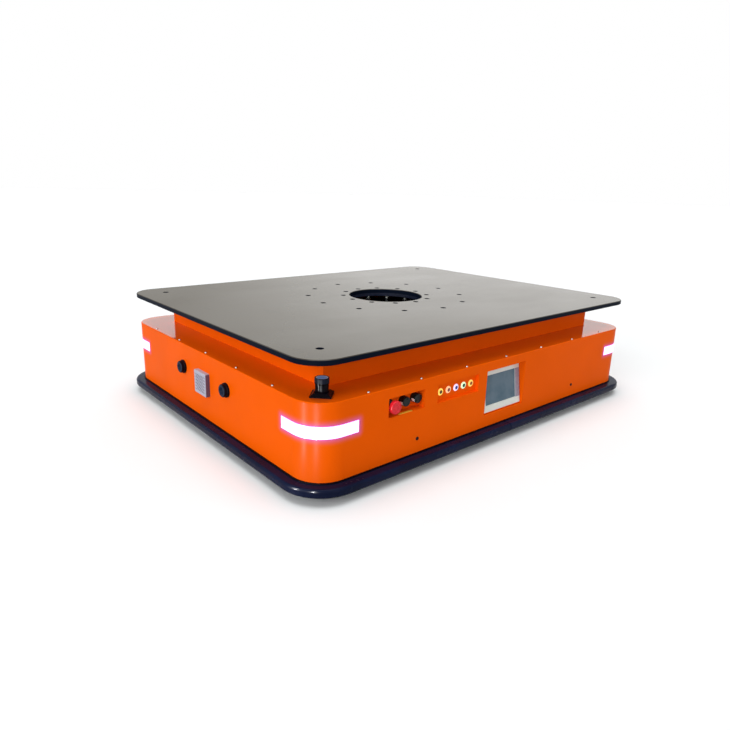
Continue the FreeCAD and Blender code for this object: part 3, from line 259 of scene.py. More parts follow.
# ---- material building
class Finish:
    """A material under construction: its principled shader and the nodes that feed it."""

    def __init__(self, name, colour, roughness, metallic=0.0, **sockets):
        self.material = bpy.data.materials.new(name)
        self.material.use_nodes = True
        self.tree = self.material.node_tree
        self.shader = self.tree.nodes["Principled BSDF"]
        self.material.diffuse_color = (*colour, 1.0)
        self.colour = tuple(colour)
        self.set("Base Color", (*colour, 1.0))
        self.set("Roughness", roughness)
        self.set("Metallic", metallic)
        for socket, value in sockets.items():
            self.set(socket.replace("_", " "), value)
        self.place = self.node("ShaderNodeTexCoord").outputs["Object"]

    def set(self, socket, value):
        self.shader.inputs[socket].default_value = value

    def node(self, kind, **values):
        node = self.tree.nodes.new(kind)
        for name, value in values.items():
            setattr(node, name, value)
        return node

    def link(self, source, target):
        self.tree.links.new(source, target)

    def feed(self, socket, source):
        """Lead a node's output into a socket of the shader."""
        self.link(source, self.shader.inputs[socket])

    def combine(self, kind, operation, values):
        """The outputs of a sum of sockets and plain values."""
        node = self.node(kind, operation=operation)
        for socket, value in zip(node.inputs, values):
            if isinstance(value, bpy.types.NodeSocket):
                self.link(value, socket)
            else:
                socket.default_value = value
        return node.outputs

    def maths(self, operation, *values):
        return self.combine("ShaderNodeMath", operation, values)[0]

    def vector(self, operation, *values):
        """Outputs of a vector sum: the vector first, or a number under "Value"."""
        return self.combine("ShaderNodeVectorMath", operation, values)

    def stretched(self, scale):
        """Object place, scaled apart along the three axes."""
        node = self.node("ShaderNodeMapping")
        node.inputs["Scale"].default_value = scale
        self.link(self.place, node.inputs["Vector"])
        return node.outputs["Vector"]

    def noise(self, size, detail=3.0, spread=(1, 1, 1)):
        """Noise whose features are about size metres, longer along an axis with a smaller spread."""
        node = self.node("ShaderNodeTexNoise")
        node.inputs["Scale"].default_value = 1.0 / size
        node.inputs["Detail"].default_value = detail
        self.link(self.stretched(spread), node.inputs["Vector"])
        return node.outputs["Fac"]

    def span(self, value, low, high, out_low=0.0, out_high=1.0):
        node = self.node("ShaderNodeMapRange")
        for socket, number in (("From Min", low), ("From Max", high),
                               ("To Min", out_low), ("To Max", out_high)):
            node.inputs[socket].default_value = number
        self.link(value, node.inputs["Value"])
        return node.outputs["Result"]

    def mix(self, factor, first, second):
        """Colour between two, each a tuple or a socket."""
        node = self.node("ShaderNodeMix", data_type="RGBA")
        self.link(factor, node.inputs["Factor"])
        for socket, value in ((node.inputs[6], first), (node.inputs[7], second)):
            if isinstance(value, tuple):
                socket.default_value = (*value, 1.0)
            else:
                self.link(value, socket)
        return node.outputs[2]

    def tint(self, factor, second, first=None):
        """Drive the base colour between its own colour and a second one."""
        self.feed("Base Color", self.mix(factor, self.colour if first is None else first, second))

    def ripple(self, height, distance, strength=1.0):
        """Bump the surface by a height field; distance is the ripple's depth in metres."""
        node = self.node("ShaderNodeBump")
        node.inputs["Strength"].default_value = strength
        node.inputs["Distance"].default_value = distance
        self.link(height, node.inputs["Height"])
        self.feed("Normal", node.outputs["Normal"])

    def vary_roughness(self, factor, low, high):
        self.feed("Roughness", self.span(factor, 0.35, 0.65, low, high))

    def split(self, vector):
        """The three numbers of a vector."""
        node = self.node("ShaderNodeSeparateXYZ")
        self.link(vector, node.inputs[0])
        return node.outputs

    def axes(self):
        """Object place as its three numbers."""
        return self.split(self.place)

    def normal(self):
        """Direction that the surface faces as its three numbers."""
        return self.split(self.node("ShaderNodeNewGeometry").outputs["Normal"])

    def facing_up(self, low=0.5, high=0.9):
        """1 on faces that look up, 0 on walls."""
        return self.span(self.normal()[2], low, high)

    def off_axis(self, centre, along):
        """Distance from a line through centre that runs along one axis (0, 1 or 2)."""
        offset = self.vector("SUBTRACT", self.place, centre)[0]
        flat = self.vector("MULTIPLY", offset, [0 if axis == along else 1 for axis in range(3)])[0]
        return self.vector("LENGTH", flat)["Value"]

    def speckle(self, size, low, high):
        """Noise of about size metres that keeps between two values."""
        return self.span(self.noise(size), 0.3, 0.7, low, high)

    def shine(self, colour, strength):
        """Let the surface give off light of a colour."""
        self.feed("Emission Color", colour)
        self.set("Emission Strength", strength)


def shade(tone, by):
    """A colour made lighter or darker by a factor."""
    return tuple(min(1.0, channel * by) for channel in tone)


def moulded(name, colour, roughness=0.45, **sockets):
    """Moulded plastic: fine spark texture and slight cloudiness."""
    finish = Finish(name, colour, roughness, **sockets)
    finish.tint(finish.span(finish.noise(0.012), 0.35, 0.65), shade(colour, 1.25))
    finish.vary_roughness(finish.noise(0.006), roughness * 0.85, roughness * 1.15)
    finish.ripple(finish.noise(0.0009, detail=2.0), 0.00004)
    return finish.material


def powder_coat(name, colour, roughness=0.5, **sockets):
    """Powder-coated steel: pebbled skin and faint dust."""
    finish = Finish(name, colour, roughness, **sockets)
    finish.tint(finish.span(finish.noise(0.08, detail=5.0), 0.4, 0.7), shade(colour, 1.5))
    finish.vary_roughness(finish.noise(0.03), roughness * 0.85, roughness * 1.2)
    finish.ripple(finish.noise(0.0016), 0.00008)
    return finish.material


def turned_metal(name, colour, roughness=0.3, spread=(1, 1, 12)):
    """Machined or drawn metal: fine lines one way and a little tarnish."""
    finish = Finish(name, colour, roughness, metallic=1.0)
    finish.tint(finish.span(finish.noise(0.02, detail=4.0), 0.35, 0.75), shade(colour, 0.7))
    finish.vary_roughness(finish.noise(0.004, spread=spread), roughness * 0.7, roughness * 1.4)
    finish.ripple(finish.noise(0.002, spread=spread), 0.00003)
    return finish.material


def cast_metal(name, colour, roughness=0.5):
    """Sand-cast metal: coarse grain and darker pits."""
    finish = Finish(name, colour, roughness, metallic=0.9)
    finish.tint(finish.span(finish.noise(0.004, detail=5.0), 0.45, 0.6), shade(colour, 0.6))
    finish.ripple(finish.noise(0.0015, detail=4.0), 0.00015)
    return finish.material


def rubber(name, colour, roughness=0.6):
    """Rubber or polyurethane: soft sheen, scuffs and lighter patches of dust."""
    finish = Finish(name, colour, roughness)
    finish.tint(finish.span(finish.noise(0.02, detail=6.0), 0.45, 0.75), shade(colour, 2.2))
    finish.vary_roughness(finish.noise(0.012), roughness * 0.7, roughness * 1.2)
    finish.ripple(finish.noise(0.003, detail=5.0), 0.0002)
    return finish.material


def dress(node, material):
    """Give a CAD node one material."""
    slots = NODES[node].data.materials
    slots.clear()
    slots.append(material)


# ---- mesh building
def new_piece(name, build, materials, body=BASE, smooth=True):
    """Make a mesh object from a function that fills a bmesh, and let it ride on a body."""
    mesh = bpy.data.meshes.new(name)
    form = bmesh.new()
    build(form)
    bmesh.ops.recalc_face_normals(form, faces=form.faces)
    form.to_mesh(mesh)
    form.free()
    for material in materials:
        mesh.materials.append(material)
    piece = add_object(name, mesh)
    if smooth:
        mesh.shade_smooth()
        mesh.set_sharp_from_angle(angle=math.radians(SMOOTH_ANGLE))
    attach(piece, body)
    return piece


def add_object(name, data, turn=Matrix()):
    """Put a new object in the scene."""
    added = bpy.data.objects.new(name, data)
    added.matrix_world = turn
    bpy.context.scene.collection.objects.link(added)
    return added


def frame_towards(direction):
    """A turn that takes local z to the direction, with local y as near to up as it can be."""
    z = Vector(direction).normalized()
    up = Vector((0, 0, 1)) if abs(z.z) < 0.9 else Vector((0, 1, 0))
    x = up.cross(z).normalized()
    y = z.cross(x)
    return Matrix((x, y, z)).transposed().to_4x4()


def lathe(form, profile, turn, centre, segments=48, material=0):
    """Turn (radius, height) points about local z, set at centre; a radius may follow the angle."""
    move = Matrix.Translation(centre) @ turn
    rings = []
    for radius, height in profile:
        if radius == 0:
            rings.append([form.verts.new(move @ Vector((0, 0, height)))])
            continue
        ring = []
        for step in range(segments):
            angle = 2 * math.pi * step / segments
            reach = radius(angle) if callable(radius) else radius
            point = Vector((reach * math.cos(angle), reach * math.sin(angle), height))
            ring.append(form.verts.new(move @ point))
        rings.append(ring)
    for lower, upper in zip(rings, rings[1:]):
        for step in range(segments):
            following = (step + 1) % segments
            corners = [lower[step % len(lower)], lower[following % len(lower)],
                       upper[following % len(upper)], upper[step % len(upper)]]
            unique = list(dict.fromkeys(corners))
            if len(unique) >= 3:
                form.faces.new(unique).material_index = material


def arc(centre_radius, centre_height, radius, start, end, steps=6):
    """Profile points on an arc, angles in degrees from the outward direction."""
    points = []
    for step in range(steps + 1):
        angle = math.radians(start + (end - start) * step / steps)
        points.append((centre_radius + radius * math.cos(angle), centre_height + radius * math.sin(angle)))
    return points


def soften_edges(form, width, above=30):
    """Round the edges that are sharper than an angle in degrees."""
    sharp = [edge for edge in form.edges if len(edge.link_faces) == 2
             and edge.calc_face_angle(0) > math.radians(above)]
    bmesh.ops.bevel(form, geom=sharp, offset=width, segments=2, profile=0.5, affect="EDGES")


def rounded_slab(form, centre, size, corner, steps=6):
    """A flat slab with round corners, lying level on centre."""
    outline = []
    for turn, (side_x, side_y) in enumerate(((1, 1), (-1, 1), (-1, -1), (1, -1))):
        for step in range(steps + 1):
            angle = math.pi / 2 * (turn + step / steps)
            outline.append((centre[0] + (size[0] / 2 - corner) * side_x + corner * math.cos(angle),
                            centre[1] + (size[1] / 2 - corner) * side_y + corner * math.sin(angle)))
    base = form.faces.new([form.verts.new((x, y, centre[2])) for x, y in outline])
    lifted = bmesh.ops.extrude_face_region(form, geom=[base])["geom"]
    bmesh.ops.translate(form, vec=(0, 0, size[2]), verts=[part for part in lifted if hasattr(part, "co")])


def curved_tile(form, centre, radii, angles, ends, steps=8):
    """A tile bent round an axis along Y, from one radius, angle and y to another."""
    rows = []
    for step in range(steps + 1):
        angle = angles[0] + (angles[1] - angles[0]) * step / steps
        x, z = math.cos(angle), math.sin(angle)
        corners = ((radii[0], ends[0]), (radii[1], ends[0]), (radii[1], ends[1]), (radii[0], ends[1]))
        rows.append([form.verts.new((centre.x + radius * x, y, centre.z + radius * z))
                     for radius, y in corners])
    for first, second in zip(rows, rows[1:]):
        for corner in range(4):
            after = (corner + 1) % 4
            form.faces.new((first[corner], first[after], second[after], second[corner]))
    form.faces.new(rows[0])
    form.faces.new(rows[-1])


def hexagon(across_flats):
    """A radius that follows a hexagon instead of a circle."""
    return lambda angle: across_flats / 2 / math.cos(angle % (math.pi / 3) - math.pi / 6)


def socket_screw(form, centre, direction, radius, height):
    """A domed screw head with a hexagon socket."""
    rim = radius * 0.5
    socket = hexagon(radius * 0.8)
    profile = [(radius, -0.0002), (radius, height * 0.25)]
    profile += [(rim + (radius - rim) * math.cos(math.radians(angle)),
                 height * (0.25 + 0.75 * math.sin(math.radians(angle)))) for angle in (30, 60, 90)]
    profile += [(socket, height), (socket, height * 0.35), (0, height * 0.25)]
    lathe(form, profile, frame_towards(direction), centre, SMALL_SEGMENTS)


# ---- the steps
class RobotStep:
    """What the operators share: each does its job on the scene's settings."""

    bl_options = {"REGISTER", "UNDO"}

    def execute(self, context):
        self.make(context.scene)
        return {"FINISHED"}


def from_corner_light(finish, sign):
    """Distance vector from the corner lights' bands, positive outside them when sign is 1."""
    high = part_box("side_shell")[1]
    lamp_low, lamp_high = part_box("corner_light_front_left")
    reach = lamp_high.x - lamp_low.x
    rise = (lamp_low.z + lamp_high.z) / 2
    centred = finish.vector("SUBTRACT", finish.place, (0, 0, rise))[0]
    size = finish.vector("ABSOLUTE", centred)[0]
    edge = ((high.x - reach) * sign, (high.y - reach) * sign, -(lamp_high.z - lamp_low.z) / 2 * sign)
    return finish.vector("MULTIPLY_ADD", size, (-sign, -sign, sign), edge)[0]


class ROBOT_OT_paint_covers(RobotStep, bpy.types.Operator):
    """Gives the deck, walls and riser their gloss paint, with a painted glow round the corner lights."""

    bl_idname = "robot.paint_covers"
    bl_label = "Paint covers"

    PAINTED_GLOW_FALL = 3.0         # how sharply the painted glow of the lamps fades
    LEVEL = (0.97, 0.995)   # upward part of the normal where the deck counts as flat
    ROUGH_DECK, ROUGH_WALL = 0.12, 0.3

    def make(self, scene):
        look = scene.robot_paint
        for node in ("side_shell", "deck_cover", "riser_box"):
            lying = node == "deck_cover"
            rough = self.ROUGH_DECK if lying else self.ROUGH_WALL
            finish = Finish(f"paint_{node}", look.colour, rough, IOR=1.07, Coat_Roughness=0.06,
                            Coat_IOR=1.6)
            cloud = finish.span(finish.noise(0.25, detail=4.0), 0.35, 0.7)
            tone = finish.mix(cloud, tuple(look.colour), shade(look.colour, 0.93))
            if node == "side_shell":
                # Painted glow: near the corner lights the base colour is painted towards their tint.
                outside = finish.vector("MAXIMUM", from_corner_light(finish, 1))[0]
                distance = finish.vector("LENGTH", outside)["Value"]
                glow = finish.maths("POWER", finish.span(distance, 0, look.painted_glow_reach, 1, 0), self.PAINTED_GLOW_FALL)
                tone = finish.mix(glow, tone, tuple(look.painted_glow_colour))
            finish.feed("Base Color", tone)
            if lying:
                level = finish.facing_up(*self.LEVEL)
                finish.feed("Coat Weight", finish.maths("MULTIPLY", level, look.deck_polish))
            finish.vary_roughness(finish.noise(0.09, detail=4.0), rough, rough * 1.3)
            finish.ripple(finish.noise(look.peel_size, detail=1.5), 0.00003, strength=0.25)
            dress(node, finish.material)


class ROBOT_OT_finish_plate(RobotStep, bpy.types.Operator):
    """Gives the equipment plate its satin black skin with faint streaks, and its ring black paint; its top is
    painted lighter than its edges, partly as painted reflection.
    """

    bl_idname = "robot.finish_plate"
    bl_label = "Finish plate"

    LEAN = (0.76, -0.65, 0)             # level direction across which the polish changes
    POLISH = (-0.75, -0.05, 0.37, 0.98)  # places along it, and the coat's weight at each
    COAT_TINT = (1.0, 0.97, 0.88, 1.0)

    def make(self, scene):
        look = scene.robot_plate
        finish = Finish("plate_black", look.edge_colour, 0.3, IOR=1.06, Coat_Roughness=0.16,
                        Coat_IOR=1.56, Coat_Tint=self.COAT_TINT)
        long_way = look.streak_width / look.streak_length
        streaks = finish.noise(look.streak_width, detail=4.0, spread=(long_way, 1, 1))
        scuffs = finish.span(finish.noise(0.05, detail=6.0, spread=(1, 0.25, 1)), 0.62, 0.72)
        skin = finish.mix(finish.span(streaks, 0.35, 0.7), tuple(look.colour), shade(look.colour, 1.12))
        worn_and_painted_reflection = finish.mix(scuffs, skin, shade(look.colour, 0.9))
        # Partly painted reflection: faces looking up take the lighter worn colour, the edges the dark edge
        # colour.
        top = finish.facing_up()
        finish.feed("Base Color", finish.mix(top, tuple(look.edge_colour), worn_and_painted_reflection))
        lean = finish.vector("DOT_PRODUCT", finish.place, self.LEAN)["Value"]
        cloud = finish.noise(0.22, detail=5.0, spread=(0.5, 1, 1))
        polish = finish.maths("MULTIPLY", finish.span(lean, *self.POLISH),
                              finish.span(cloud, 0.35, 0.65, 0.93, 1.05))
        finish.feed("Coat Weight", finish.maths("MULTIPLY", top, polish))
        finish.vary_roughness(streaks, 0.29, 0.31)
        dress("top_plate", finish.material)
        dress("cable_ring", powder_coat("ring_black", (0.007, 0.010, 0.024), 0.4, IOR=1.3))


class ROBOT_OT_hang_connectors(RobotStep, bpy.types.Operator):
    """Hangs the round cable connectors from the ring under the plate, between its bolts."""

    bl_idname = "robot.hang_connectors"
    bl_label = "Hang connectors"

    # outlines as shares of the connector's radius and length
    FLANGE = ((1, 0), (1, 0.15), (0.8, 0.2), (0.8, 0.3))
    SLEEVE = ((0.75, 0.75), (0.55, 0.78), (0.55, 1), (0.4, 1), (0.4, 0.8), (0, 0.8))

    def make(self, scene):
        look = scene.robot_plate
        low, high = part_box("cable_ring")
        circle = high.x - look.ring_width + look.connector_radius * 1.3
        body = look.connector_radius
        length = look.connector_length
        profile = [(body * across, length * along) for across, along in self.FLANGE]
        profile += arc(body * 0.9, length * 0.35, body * 0.1, -90, 90, steps=3)
        profile += [(body * across, length * along) for across, along in self.SLEEVE]

        def connectors(form):
            for place in range(look.connectors):
                bearing = 2 * math.pi * (place + 0.5) / look.connectors
                centre = (circle * math.cos(bearing), circle * math.sin(bearing), low.z)
                lathe(form, profile, frame_towards((0, 0, -1)), centre, SMALL_SEGMENTS)

        nickel = turned_metal("connector_nickel", (0.78, 0.80, 0.78), 0.25)
        new_piece("cable_connectors", connectors, [nickel])


class ROBOT_OT_finish_base(RobotStep, bpy.types.Operator):
    """Finishes the base pan and the two halves of the bumper."""

    bl_idname = "robot.finish_base"
    bl_label = "Finish base"

    def make(self, scene):
        navy = (0.003, 0.006, 0.024)
        finish = Finish("bumper_navy", navy, 0.2, IOR=1.13, Coat_Weight=0.02, Coat_Roughness=0.05)
        finish.tint(finish.span(finish.noise(0.15, detail=5.0), 0.4, 0.7), shade(navy, 1.8))
        finish.vary_roughness(finish.noise(0.05, detail=4.0), 0.15, 0.3)
        finish.ripple(finish.noise(0.006, detail=2.0), 0.00005, strength=0.5)
        for node in ("bumper_front", "bumper_rear"):
            dress(node, finish.material)
        dress("base_pan", powder_coat("pan_black", (0.004, 0.003, 0.004), 0.4, IOR=1.1))


class ROBOT_OT_light_corners(RobotStep, bpy.types.Operator):
    """Lights the corner lenses: white in the middle and coloured along the edge."""

    bl_idname = "robot.light_corners"
    bl_label = "Light corners"

    def make(self, scene):
        look = scene.robot_lamps
        finish = Finish("lamp_lens", (0.9, 0.85, 0.9), 0.25)
        inside_x, inside_y, inside_z = finish.split(from_corner_light(finish, -1))
        nearest = finish.maths("MINIMUM", inside_x, finish.maths("MINIMUM", inside_y, inside_z))
        wobble = finish.speckle(0.01, -0.0004, 0.0004)
        edge = finish.span(finish.maths("ADD", nearest, wobble), 0.0, look.rim_width)
        finish.shine(finish.mix(edge, tuple(look.rim), tuple(look.core)), LENS_GLOW)
        finish.ripple(finish.noise(0.002), 0.00003)
        for corner in CORNERS:
            dress(f"corner_light_{corner}", finish.material)
        dress("light_channels", turned_metal("channel_aluminium", (0.62, 0.62, 0.64), 0.35))


class ROBOT_OT_fit_cover_screws(RobotStep, bpy.types.Operator):
    """Fits the screws along the deck's edge and low on the side walls."""

    bl_idname = "robot.fit_cover_screws"
    bl_label = "Fit cover screws"

    def make(self, scene):
        look = scene.robot_screws
        steel = turned_metal("screw_steel", (0.62, 0.60, 0.58), 0.22, spread=(1, 1, 1))
        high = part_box("deck_cover")[1]

        def deck_screws(form):
            for side in (-1, 1):
                for axis, count in enumerate((look.long_side, look.short_side)):
                    for place in range(count):
                        spot = [(high.x - look.deck_inset) * side, (high.y - look.deck_inset) * side, high.z]
                        spot[axis] = (place - (count - 1) / 2) * look.deck_pitch
                        socket_screw(form, spot, (0, 0, 1), look.head_radius, look.head_height)

        new_piece("deck_screws", deck_screws, [steel])
        low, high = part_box("side_shell")

        def wall_bolts(form):
            for side in (-1, 1):
                for reach in (-look.wall_reach, look.wall_reach):
                    socket_screw(form, (reach, high.y * side, low.z + look.wall_rise), (0, side, 0),
                                 look.plug_radius, look.head_height)

        black = moulded("bolt_black", (0.012, 0.005, 0.004), 0.4, IOR=1.2)
        new_piece("wall_bolts", wall_bolts, [black])


class ROBOT_OT_finish_scanners(RobotStep, bpy.types.Operator):
    """Finishes the two corner scanners: foot, head with its dark window, and blue cap."""

    bl_idname = "robot.finish_scanners"
    bl_label = "Finish scanners"

    BAND = (0.66, 0.68)     # share of the head's height where its upper band starts
    CAP_RIM = (0.82, 0.86)  # share of the cap's radius where its pale rim starts

    def make(self, scene):
        for end in ("front", "rear"):
            low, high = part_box(f"lidar_head_{end}")
            centre = (low + high) / 2
            head = Finish(f"scanner_head_{end}", (0.003, 0.002, 0.004), 0.1, IOR=1.12)
            band = [low.z + (high.z - low.z) * share for share in self.BAND]
            upper = head.span(head.axes()[2], *band)
            grain = head.speckle(0.001, 0.9, 1.1)
            head.tint(head.maths("MULTIPLY", upper, grain), (0.010, 0.013, 0.026))
            head.feed("Roughness", head.span(upper, 0, 1, 0.1, 0.35))
            head.ripple(head.noise(0.0012), 0.00001)
            dress(f"lidar_head_{end}", head.material)
            cap = Finish(f"scanner_cap_{end}", (0.14, 0.46, 0.95), 0.3, IOR=1.4)
            cap_low, cap_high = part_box(f"lidar_cap_{end}")
            rim = (cap_high.x - cap_low.x) / 2
            wobble = cap.speckle(0.004, -0.0002, 0.0002)
            edge = cap.span(cap.maths("ADD", cap.off_axis(centre, 2), wobble),
                            *[rim * share for share in self.CAP_RIM])
            cap.tint(edge, (0.82, 0.92, 1.0))
            cap.ripple(cap.noise(0.0008), 0.00002)
            dress(f"lidar_cap_{end}", cap.material)
            foot = moulded(f"scanner_foot_{end}", (0.004, 0.003, 0.005), 0.3, IOR=1.15)
            dress(f"lidar_base_{end}", foot)


class ROBOT_OT_finish_front(RobotStep, bpy.types.Operator):
    """Finishes the speaker, with painted shade on its flanks and in its grille holes, and the two range
    sensors on the front wall.
    """

    bl_idname = "robot.finish_front"
    bl_label = "Finish front"

    LENS_EDGE = (0.80, 0.84)  # share of a sensor's radius where its glossy face ends

    def make(self, scene):
        look = scene.robot_front
        lilac = (0.42, 0.42, 0.52)
        case = Finish("speaker_lilac", lilac, 0.4, IOR=1.3)
        # Painted shade: faces looking sideways are painted darker violet than the front.
        painted_shade_flank = case.span(case.maths("ABSOLUTE", case.normal()[1]), 0.6, 0.8)
        cloud = case.speckle(0.004, 0.9, 1.0)
        case.tint(case.maths("MULTIPLY", painted_shade_flank, cloud), (0.10, 0.055, 0.11))
        case.ripple(case.noise(0.0009, detail=2.0), 0.00004)
        dress("speaker_housing", case.material)
        grille = Finish("speaker_mesh", lilac, 0.4, IOR=1.3)
        # Painted shade: dark dots, on a lattice half a pitch off the grille's middle, stand for the shade
        # inside grille holes; they are also dented by a bump.
        centre = middle("speaker_grille")
        parts = grille.axes()
        offsets = []
        for axis in (1, 2):
            along = grille.maths("SUBTRACT", parts[axis], centre[axis])
            cell = grille.maths("DIVIDE", along, look.hole_pitch)
            offset = grille.maths("SUBTRACT", grille.maths("FRACT", cell), 0.5)
            offsets.append(grille.maths("POWER", offset, 2.0))
        spread = grille.maths("SQRT", grille.maths("ADD", *offsets))
        hole = look.hole_radius / look.hole_pitch
        dark = grille.span(spread, hole * 0.85, hole * 1.15, 1.0, 0.0)
        grille.tint(dark, (0.06, 0.06, 0.10))
        grille.ripple(grille.maths("SUBTRACT", 1.0, dark), 0.0006)
        dress("speaker_grille", grille.material)
        for side in SIDES:
            node = f"range_sensor_{side}"
            centre = middle(node)
            low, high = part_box(node)
            body = Finish(node, (0.005, 0.002, 0.005), 0.35, IOR=1.12)
            reach = (high.z - low.z) / 2
            face = body.span(body.off_axis(centre, 0), *[reach * share for share in self.LENS_EDGE], 1.0, 0.0)
            cloud = body.speckle(0.003, 0.85, 1.0)
            body.tint(body.maths("MULTIPLY", face, cloud), (0.010, 0.019, 0.045))
            body.feed("Roughness", body.span(face, 0, 1, 0.38, 0.12))
            body.ripple(body.noise(0.0009), 0.00002)
            dress(node, body.material)


class ROBOT_OT_fit_stop_button(RobotStep, bpy.types.Operator):
    """Finishes the emergency stop and lays its plain yellow strip in the recess."""

    bl_idname = "robot.fit_stop_button"
    bl_label = "Fit stop button"

    STRIP_THICK, STRIP_CORNER, STRIP_ROUND = 0.0012, 0.0015, 0.0003

    def make(self, scene):
        look = scene.robot_panel
        dress("estop_button", moulded("stop_red", (0.66, 0.012, 0.024), 0.3, IOR=1.3, Coat_Weight=0.1))
        dress("estop_collar", moulded("collar_black", (0.008, 0.007, 0.007), 0.35, IOR=1.25))
        dress("estop_stem", turned_metal("stem_steel", (0.5, 0.5, 0.52), 0.25))
        axis = middle("estop_button")
        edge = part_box("side_shell")[0].y
        place = (axis.x + look.strip_offset, edge + look.strip_inset, axis.z - look.strip_drop)

        def strip(form):
            rounded_slab(form, place, (look.strip_length, look.strip_width, self.STRIP_THICK),
                         self.STRIP_CORNER)
            soften_edges(form, self.STRIP_ROUND)

        yellow = moulded("strip_yellow", (0.78, 0.42, 0.03), 0.4)
        new_piece("stop_strip", strip, [yellow])


class ROBOT_OT_fit_selectors(RobotStep, bpy.types.Operator):
    """Finishes the two selector switches and sets a white index mark round each knob."""

    bl_idname = "robot.fit_selectors"
    bl_label = "Fit selectors"

    MARK_DEPTH, MARK_PROUD, MARK_ROUND = 0.0012, 0.0002, 0.0002

    def make(self, scene):
        look = scene.robot_panel
        dress("selector_bezels", turned_metal("selector_ring", (0.05, 0.05, 0.055), 0.3))
        white = moulded("index_white", (0.95, 0.96, 0.97), 0.35)
        for number in (1, 2):
            node = f"selector_knob_{number}"
            dress(node, moulded(f"knob_black_{number}", (0.006, 0.009, 0.010), 0.35, IOR=1.25))
            low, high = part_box(node)
            radius = (high.x - low.x) / 2
            half_turn = look.index_width / radius / 2
            front = low.y + look.index_setback

            def index(form):
                curved_tile(form, (low + high) / 2, (radius - self.MARK_DEPTH, radius + self.MARK_PROUD),
                            (look.index_angle - half_turn, look.index_angle + half_turn),
                            (front, front + look.index_length))
                soften_edges(form, self.MARK_ROUND)

            new_piece(f"selector_index_{number}", index, [white], body=f"selector_{number}")


class ROBOT_OT_fit_push_buttons(RobotStep, bpy.types.Operator):
    """Finishes the five lit push buttons: a glowing ring round a darker middle."""

    bl_idname = "robot.fit_push_buttons"
    bl_label = "Fit push buttons"

    CORE_BLEND = 0.0006
    # each button's lit ring and its darker middle
    TONES = (((1.0, 0.78, 0.12), (0.10, 0.035, 0.01)), ((0.98, 0.56, 0.30), (0.22, 0.05, 0.05)),
             ((0.80, 0.74, 1.0), (0.02, 0.04, 0.30)), ((0.72, 0.96, 0.62), (0.006, 0.07, 0.03)),
             ((1.0, 0.66, 0.12), (0.30, 0.07, 0.01)))

    def make(self, scene):
        look = scene.robot_panel
        places = [middle(f"push_button_{number}") for number in range(1, len(self.TONES) + 1)]
        pitch = places[1].x - places[0].x
        ring = Finish("button_ring", self.TONES[0][0], 0.25, Coat_Weight=0.2)
        ramp = ring.node("ShaderNodeValToRGB")
        ramp.color_ramp.interpolation = "CONSTANT"
        stops = ramp.color_ramp.elements
        row = ring.span(ring.axes()[0], places[0].x - pitch / 2, places[-1].x + pitch / 2)
        ring.link(row, ramp.inputs["Fac"])
        for number, (tone, _) in enumerate(self.TONES):
            stop = stops[0] if number == 0 else stops.new(number / len(places))
            stop.color = (*tone, 1.0)
        stops.remove(stops[-1])
        polish = ring.speckle(0.002, 0.0, 0.12)
        ring.tint(polish, (0.6, 0.6, 0.6), ramp.outputs["Color"])
        ring.shine(ramp.outputs["Color"], BUTTON_GLOW)
        dress("button_bezels", ring.material)
        for number, (tone, core) in enumerate(self.TONES, 1):
            node = f"push_button_{number}"
            cap = Finish(f"button_tone_{number}", core, 0.25, IOR=1.3, Coat_Weight=0.1)
            wobble = cap.speckle(0.002, -0.0002, 0.0002)
            away = cap.maths("ADD", cap.off_axis(places[number - 1], 1), wobble)
            lit = cap.span(away, look.button_core, look.button_core + self.CORE_BLEND)
            cap.tint(lit, tone)
            cap.shine(cap.mix(lit, shade(core, 0.3), tone), BUTTON_GLOW)
            dress(node, cap.material)


class ROBOT_OT_fit_operator_screen(RobotStep, bpy.types.Operator):
    """Finishes the operator screen: silver frame with painted shade on its far end bar, dark glass and a
    plain lit display.
    """

    bl_idname = "robot.fit_operator_screen"
    bl_label = "Fit operator screen"

    BLEND = 0.0005  # half the width over which the painted shade on the frame's end bar fades in

    def make(self, scene):
        look = scene.robot_panel
        centre = middle("hmi_bezel")
        rim = Finish("screen_silver", (0.72, 0.75, 0.70), 0.35, metallic=0.1)
        parts = rim.axes()
        # Painted shade: the frame's bar beyond the display's far end is painted darker lilac.
        end = centre.x + look.window_end
        beyond = rim.span(parts[0], end - self.BLEND, end + self.BLEND)
        height = rim.maths("ABSOLUTE", rim.maths("SUBTRACT", parts[2], centre.z))
        between = rim.span(height, look.window_rise - self.BLEND, look.window_rise + self.BLEND, 1.0, 0.0)
        painted_shade_end_bar = rim.maths("MULTIPLY", beyond, between)
        rim.tint(rim.maths("MULTIPLY", painted_shade_end_bar, rim.speckle(0.01, 0.85, 1.0)), (0.25, 0.235, 0.32))
        rim.ripple(rim.noise(0.0009, detail=2.0), 0.00004)
        dress("hmi_bezel", rim.material)
        dress("hmi_housing", powder_coat("screen_case", (0.25, 0.26, 0.28), 0.5))
        glass = Finish("screen_glass", (0.04, 0.075, 0.105), 0.08, IOR=1.2)
        cloud = glass.span(glass.noise(0.05, detail=2.0), 0.35, 0.65)
        glass.tint(cloud, (0.07, 0.10, 0.13))
        glass.shine(glass.mix(cloud, (0.07, 0.11, 0.14), (0.10, 0.15, 0.19)), DISPLAY_GLOW)
        dress("hmi_screen", glass.material)


class ROBOT_OT_finish_chassis(RobotStep, bpy.types.Operator):
    """Finishes the steel frames and the boxes that they carry."""

    bl_idname = "robot.finish_chassis"
    bl_label = "Finish chassis"

    def make(self, scene):
        coat = powder_coat("frame_grey", (0.03, 0.03, 0.033), 0.45)
        for node in ("chassis_frame", "riser_frame", "drive_brackets"):
            dress(node, coat)
        dress("control_box", powder_coat("control_grey", (0.42, 0.43, 0.44), 0.45))
        dress("battery_pack", powder_coat("battery_blue", (0.02, 0.05, 0.12), 0.5))


